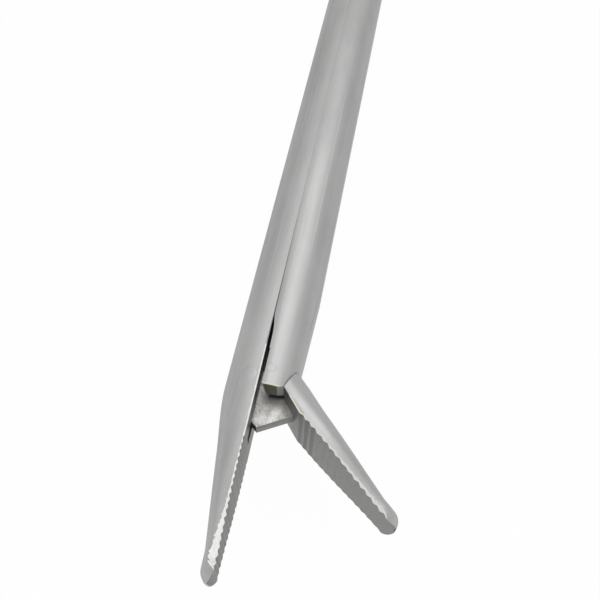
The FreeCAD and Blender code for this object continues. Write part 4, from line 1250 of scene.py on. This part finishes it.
# %% [markdown]
# The camera stands where the photographer's did: close over the open jaws, looking down the side of
# the instrument with the shaft running up and away. It was fitted to the edges of the photograph.
# %% The camera
AIM = Vector((74.86, 3.93, 2.5))
AZIMUTH = math.radians(98.02)
ELEVATION = math.radians(57.34)
ROLL = math.radians(3.0)
DISTANCE = 32.81
LENS = 42.98
back = Vector((math.sin(AZIMUTH) * math.cos(ELEVATION), -math.cos(AZIMUTH) * math.cos(ELEVATION),
               math.sin(ELEVATION)))
camera = bpy.data.objects.new("camera", bpy.data.cameras.new("camera"))
scene.collection.objects.link(camera)
camera.location = (AIM + back * DISTANCE) * MM
facing = (-back).to_track_quat("-Z", "Y")
camera.rotation_mode = "QUATERNION"
camera.rotation_quaternion = facing @ Matrix.Rotation(ROLL, 3, "Z").to_quaternion()
camera.data.lens = LENS
camera.data.sensor_width = 36
camera.data.clip_start = 1 * MM
camera.data.clip_end = 10
scene.camera = camera
print("camera at", [round(v / MM, 2) for v in camera.location], "mm")

# %% [markdown]
# Steel shows what stands round it more than its own colour. The room is white at the horizon,
# greyer above it and white again overhead, which gives the round sides their soft dark bands.
# A photograph of a studio could light it too, but a ramp from the floor to the ceiling is easier to
# set tone by tone. The camera sees plain white.
# %% The room
room = bpy.data.worlds.new("room")
room.use_nodes = True
tree = room.node_tree
sky = tree.nodes["Background"]
SKY = [(0.0, 1.0), (0.12, 0.84), (0.45, 0.79), (0.8, 0.90), (1.0, 1.08)]
tone_of_sky = ramp(tree, coordinate(tree, "Generated", "Z"), SKY)
path = add_node(tree, "ShaderNodeLightPath")
clean = blend(tree, path.outputs["Is Camera Ray"], tone_of_sky, (1.0, 1.0, 1.0))
tree.links.new(clean, sky.inputs["Color"])
sky.inputs["Strength"].default_value = 1.0
scene.world = room
print("sky tones, horizon first:", [tone for place, tone in SKY])

# %% [markdown]
# One wide lamp stands where the rubbed sides mirror it, which draws the long pale band on the bars.
# The table is pale and keeps the shadow. For the camera and for reflections most of it is plain
# white, so the background is clean and the steel mirrors the same table that the viewer sees.
# %% The lamp and the table
TIP = Vector((END, SEAM, MIDDLE)) * MM
LAMP_PLACE = Vector((-0.188, 0.060, 0.502))
lamp = bpy.data.lights.new("wide lamp", "AREA")
lamp.shape = "RECTANGLE"
lamp.size = 0.19
lamp.size_y = 0.32
lamp.energy = 0.32
holder = bpy.data.objects.new("wide lamp", lamp)
scene.collection.objects.link(holder)
holder.location = LAMP_PLACE
holder.rotation_euler = (LAMP_PLACE - TIP).to_track_quat("Z", "Y").to_euler()

TABLE_GLOW = 0.97
TABLE_HALF = 600
table_material, tree, shader = new_material("pale table", metal=0.0)
shader.inputs["Base Color"].default_value = (0.80, 0.80, 0.80, 1)
shader.inputs["Roughness"].default_value = 0.9
glow = add_node(tree, "ShaderNodeEmission")
glow.inputs["Strength"].default_value = 1.0
path = add_node(tree, "ShaderNodeLightPath")
mix = add_node(tree, "ShaderNodeMixShader")
shown = path.outputs["Is Camera Ray"]
for ray in ("Is Glossy Ray", "Is Transmission Ray"):
    shown = arithmetic(tree, "MAXIMUM", shown, path.outputs[ray])
tree.links.new(arithmetic(tree, "MULTIPLY", shown, TABLE_GLOW), mix.inputs["Fac"])
tree.links.new(shader.outputs[0], mix.inputs[1])
tree.links.new(glow.outputs[0], mix.inputs[2])
tree.links.new(mix.outputs[0], tree.nodes["Material Output"].inputs["Surface"])
table_bm = bmesh.new()
bmesh.ops.create_grid(table_bm, x_segments=8, y_segments=8, size=TABLE_HALF)
table = as_object(table_bm, "table")
table.data.transform(Matrix.Scale(MM, 4))
table.location.z = cad_low.z - 0.02 * MM
table.data.materials.append(table_material)
table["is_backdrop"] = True
scene.view_settings.view_transform = "Standard"
print("table", round(2 * TABLE_HALF), "mm across, under", round(cad_low.z / MM, 2), "mm")

# %% Write the sizes and finish
low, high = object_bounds()
print("visual box", [round(v / MM, 2) for v in low], "to", [round(v / MM, 2) for v in high], "mm")
